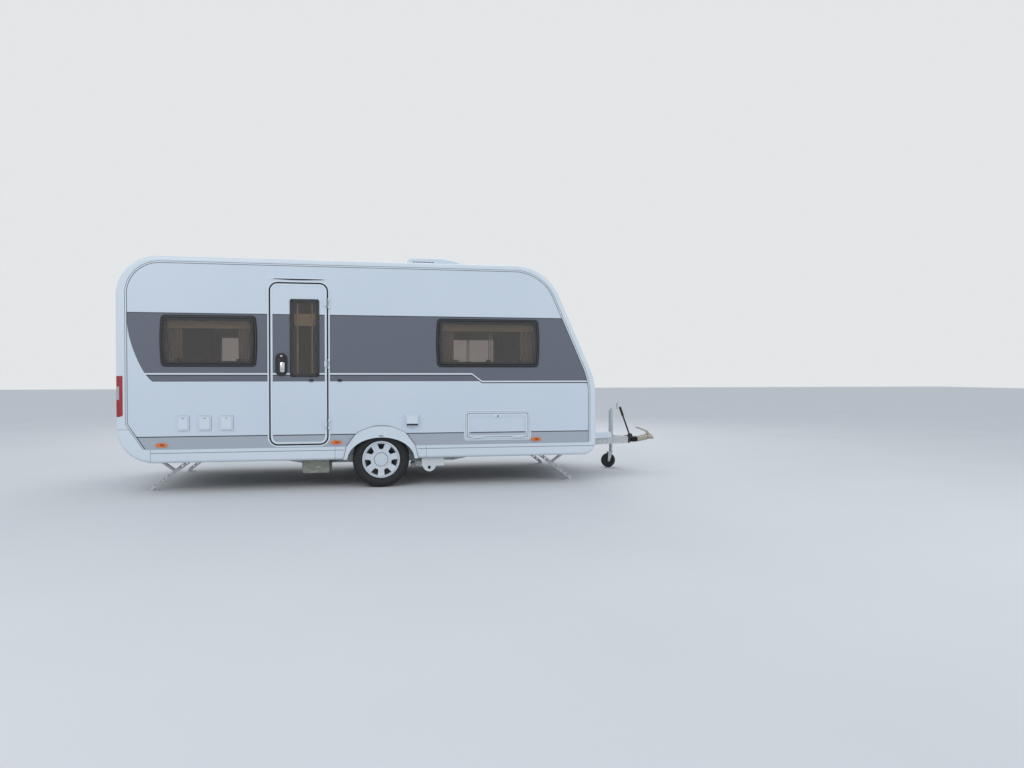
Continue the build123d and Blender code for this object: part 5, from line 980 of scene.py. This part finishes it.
# Tyres: half of the section as radius and distance from the middle, with two tread grooves and sidewall
# rings, led round in steps. Every third step is cut in at the shoulder, which leaves blocks
half_section = [
    (0.192, 0.076), (0.208, 0.076), (0.214, 0.0815), (0.217, 0.0845), (0.221, 0.0850), (0.235, 0.0930),
    (0.258, 0.0975), (0.272, 0.0968), (0.275, 0.0978), (0.279, 0.0955), (0.292, 0.0920), (0.306, 0.0860),
    (0.315, 0.0800), (0.322, 0.0740), (0.3262, 0.0640), (0.3268, 0.0480), (0.3190, 0.0465),
    (0.3190, 0.0395), (0.3270, 0.0380), (0.3270, 0.0185), (0.3190, 0.0170), (0.3190, 0.0100),
    (0.3270, 0.0085),
]
section = half_section + [(radius, -across) for radius, across in reversed(half_section)]
turns, block_cut = 216, 0.0045
for side, sign in (("right", -1), ("left", 1)):
    corners = []
    for step in range(turns):
        turn = 2 * math.pi * step / turns
        for radius, across in section:
            if step % 3 == 0 and 0.05 < abs(across) < 0.082 and radius > 0.312:
                radius -= block_cut
            corners.append((
                axle_x + radius * math.sin(turn), sign * wheel_y + across, wheel_z - radius * math.cos(turn),
            ))
    shape = (corners, ringed(turns, len(section), True))
    tread = piece("tyre_tread_" + side, shape, ("tyre", tyre_rubber), "wheel_" + side, sharp=32)
    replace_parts(tread, "tyre_" + side)


# Cushions and mattress: crowned closed forms whose sides pull in, with sewn piping
tuft_spacing, unevenness, piping_radius, clearance = 0.19, 0.0022, 0.0042, 0.003
# How steeply a tuft's rim rises, and how many swells of the cloth lie in a metre
rim_rise, swells = 2.2, 5.5


def pad_point(at, half, crown, pull, edge):
    """Where a point of a block lies on the pad made of it."""
    u, v, w = (at[i] / half[i] for i in range(3))
    core = [max(min(at[i], half[i] - edge), edge - half[i]) for i in range(3)]
    off = Vector([at[i] - core[i] for i in range(3)])
    if off.length > 1e-9:
        off = off.normalized() * edge
    x, y, z = (core[i] + off[i] for i in range(3))
    x -= pull * (1 - v * v) * u
    y -= pull * (1 - u * u) * v
    z += crown * ((1 - u ** 4) * (1 - v ** 4) - 1) * max(w, 0)
    return Vector((x, y, z))


def pad(name, low, high, finish, up=2, crown=0.010, pull=0.008, edge=0.030, step=0.03, tuft=0.0):
    """A pad inside a box, crowned along one axis, with piping along its upper and lower seams."""
    order = {0: (1, 2, 0), 1: (2, 0, 1), 2: (0, 1, 2)}[up]
    middle = [(a + b) / 2 for a, b in zip(low, high)]
    half = [(high[i] - low[i]) / 2 - clearance for i in order]
    counts = [max(4, int(2 * h / step)) for h in half]

    def placed(local):
        at = pad_point(local, half, crown, pull, edge)
        if tuft:
            waves = [math.sin(math.pi * local[axis] / tuft_spacing) for axis in (0, 1)]
            fold = abs(waves[0]) * abs(waves[1])
            at.z -= tuft * (1 - min(1.0, rim_rise * fold)) * max(local[2] / half[2], 0)
        grain = noise.noise(Vector(local) * swells + Vector(middle))
        at += Vector(local).normalized() * unevenness * grain
        spot = [0.0, 0.0, 0.0]
        for i, axis in enumerate(order):
            spot[axis] = middle[axis] + at[i]
        return Vector(spot)

    shape = bmesh.new()
    for axis in range(3):
        ia, ib = [i for i in range(3) if i != axis]
        for end in (-1, 1):
            grid = []
            for i in range(counts[ia] + 1):
                row = []
                for j in range(counts[ib] + 1):
                    local = [0.0, 0.0, 0.0]
                    local[axis] = end * half[axis]
                    local[ia] = half[ia] * (2 * i / counts[ia] - 1)
                    local[ib] = half[ib] * (2 * j / counts[ib] - 1)
                    row.append(shape.verts.new(placed(local)))
                grid.append(row)
            for i in range(counts[ia]):
                for j in range(counts[ib]):
                    shape.faces.new((grid[i][j], grid[i + 1][j], grid[i + 1][j + 1], grid[i][j + 1]))
    bmesh.ops.remove_doubles(shape, verts=shape.verts, dist=0.0004)
    shape.verts.index_update()
    corners = [v.co.copy() for v in shape.verts]
    faces = [tuple(v.index for v in f.verts) for f in shape.faces]
    shape.free()
    made = piece(name, (corners, faces), ("upholstery", finish), sharp=180)
    seams = []
    for end in (-1, 1):
        line = []
        for sign_a, sign_b, along in ((-1, -1, 0), (1, -1, 1), (1, 1, 0), (-1, 1, 1)):
            count = counts[along]
            for i in range(count):
                share = 2 * i / count - 1
                if (sign_a, sign_b) in ((1, 1), (-1, 1)):
                    share = -share
                local = [sign_a * half[0], sign_b * half[1], end * half[2]]
                local[along] = share * half[along]
                line.append(placed(local))
        seams.append(tube(line, piping_radius, sides=6))
    piece(name + "_piping", seams, ("upholstery", piping_cloth), sharp=180)
    return made


# Name, low corner, high corner, and the axis that the crown faces
seat_table = [
    ("seat_pad_rear", (-3.250, -1.102, 0.920), (-2.660, 1.102, 1.050), 2),
    ("seat_pad_left", (-2.646, 0.498, 0.920), (-1.854, 1.102, 1.050), 2),
    ("seat_pad_right", (-2.646, -1.102, 0.920), (-1.854, -0.498, 1.050), 2),
    ("back_pad_rear", (-3.265, -0.950, 1.050), (-3.145, 0.950, 1.400), 0),
    ("back_pad_left", (-2.950, 0.980, 1.050), (-1.850, 1.100, 1.400), 1),
    ("back_pad_right", (-2.950, -1.100, 1.050), (-1.850, -0.980, 1.400), 1),
]
for name, low, high, up in seat_table:
    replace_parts(pad(name, low, high, seat_cloth, up), "lounge_cushions")
low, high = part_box("mattress")
mattress = pad(
    "sprung_mattress", low, high, mattress_cloth,
    crown=0.006, pull=0.004, edge=0.035, step=0.0315, tuft=0.006,
)
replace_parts(mattress, "mattress")


# Curtains and pleated blinds inside the windows
def folds(name, side, left, right, top, low, pitch, depth, off, finish, upright, body="root"):
    """A sheet in folds between two edges: level ones for a blind, upright ones for a curtain, which are
    shallower at the top by a share and lean a little."""
    across = int(abs(right - left) / (pitch / 10)) if upright else 2
    down = 8 if upright else int(abs(top - low) / (pitch / 2))
    corners, faces, slack, lean = [], [], 0.55, 0.4
    for j in range(down + 1):
        for i in range(across + 1):
            u, v = i / across, j / down
            if upright:
                turn = 2 * math.pi * u * abs(right - left) / pitch + lean * v
                swing = depth * (slack + (1 - slack) * v) * math.sin(turn)
            else:
                swing = depth * (1 if j % 2 else -1)
            corners.append(on_face(side, left + (right - left) * u, top + (low - top) * v, off + swing))
    for j in range(down):
        for i in range(across):
            at = j * (across + 1) + i
            faces.append((at, at + 1, at + across + 2, at + across + 1))
    made = piece(name, (corners, faces), ("upholstery", finish), body, sharp=60 if upright else 10)


for name, side, along, up, length, height in windows:
    top, low, half = up + height / 2 - 0.055, up - height / 2 + 0.050, length / 2
    case = capped(side, (along, top + 0.010, length - 0.090, 0.050, 0.010, 3), button(-0.085, -0.0475))
    piece("blind_case_" + name, case, cream)
    folds(
        "blind_" + name, side, along - half + 0.060, along + half - 0.060, top - 0.016, top - 0.086,
        0.014, 0.005, -0.060, blind_cloth, False,
    )
    for end, sign in (("_a", -1), ("_b", 1)):
        edge = along + sign * (half - 0.062)
        folds(
            "curtain_" + name + end, side, edge, edge - sign * 0.150, top - 0.015, low,
            0.030, 0.009, -0.100, curtain_cloth, True,
        )
folds(
    "door_blind", "right", glass[0] - 0.118, glass[0] + 0.118, 2.010, 1.875,
    0.014, 0.004, -0.052, blind_cloth, False, "door",
)

# Studio: pale painted floor
reach = 60.0
floor_mesh = bpy.data.meshes.new("studio_floor")
floor_corners = [(-reach, -reach, 0), (reach, -reach, 0), (reach, reach, 0), (-reach, reach, 0)]
floor_mesh.from_pydata(floor_corners, [], [(0, 1, 2, 3)])
floor_finish, tree, base, place = finish_of("studio_floor_paint")
mottle = put(tree, "TexNoise", Vector=place, Scale=0.6, Detail=3.0)
tone = put(tree, "Mix", mottle, data_type="RGBA", A=linear("DDDEDF"), B=linear("D6D7D8"))
feed(tree, base, Base_Color=tone, Roughness=0.8)
floor_mesh.materials.append(floor_finish)
linked("studio_floor", floor_mesh)

# World: a pale backdrop for the eye, the glass and the metal, and a slightly blue light
world = bpy.data.worlds.new("studio_world")
bpy.context.scene.world = world
world.use_nodes = True
tree = world.node_tree
ray = put(tree, "LightPath").outputs
seen = put(tree, "Math", ray["Is Camera Ray"], ray["Is Transmission Ray"], operation="MAXIMUM")
shown = put(tree, "Math", seen, ray["Is Glossy Ray"], operation="MAXIMUM")
pale = put(tree, "Background", linear("E9EBEC"), 0.95)
soft_light = put(tree, "Background", linear("E4EDF8"), 0.80)
either = put(tree, "MixShader", shown, soft_light, pale)
feed(tree, tree.nodes["World Output"], Surface=either)

# Softboxes: name, place, diameter, power in watts, the point they face
lamp_table = [
    ("key_softbox", (-5.5, -9.0, 7.5), 7.0, 260.0, (-0.5, 0, 1.2)),
    ("fill_softbox", (6.5, -7.0, 4.5), 6.0, 90.0, (0.5, 0, 1.2)),
    ("back_softbox", (1.0, 8.0, 7.0), 7.0, 260.0, (0, 0, 1.5)),
]
for name, at, size, power, target in lamp_table:
    lamp = bpy.data.lights.new(name, "AREA")
    lamp.shape = "DISK"
    lamp.size = size
    lamp.energy = power
    holder = linked(name, lamp)
    holder.location = at
    holder.rotation_euler = (Vector(target) - Vector(at)).to_track_quat("-Z", "Y").to_euler()

# Camera: the photograph's own, as solved from it
photo_width, focal_pixels, sensor_mm = 1024.0, 725.0, 36.0
camera = bpy.data.cameras.new("photo_camera")
camera.sensor_width = sensor_mm
camera.lens = sensor_mm * focal_pixels / photo_width
camera.clip_end = 200.0
holder = linked("photo_camera", camera)
holder.location = (-0.516, -9.677, 1.318)
aim, dip = math.radians(10.55), math.radians(-0.75)
way = Vector((math.sin(aim) * math.cos(dip), math.cos(aim) * math.cos(dip), math.sin(dip)))
holder.rotation_euler = way.to_track_quat("-Z", "Y").to_euler()
bpy.context.scene.camera = holder

bpy.context.scene.view_settings.view_transform = "Standard"
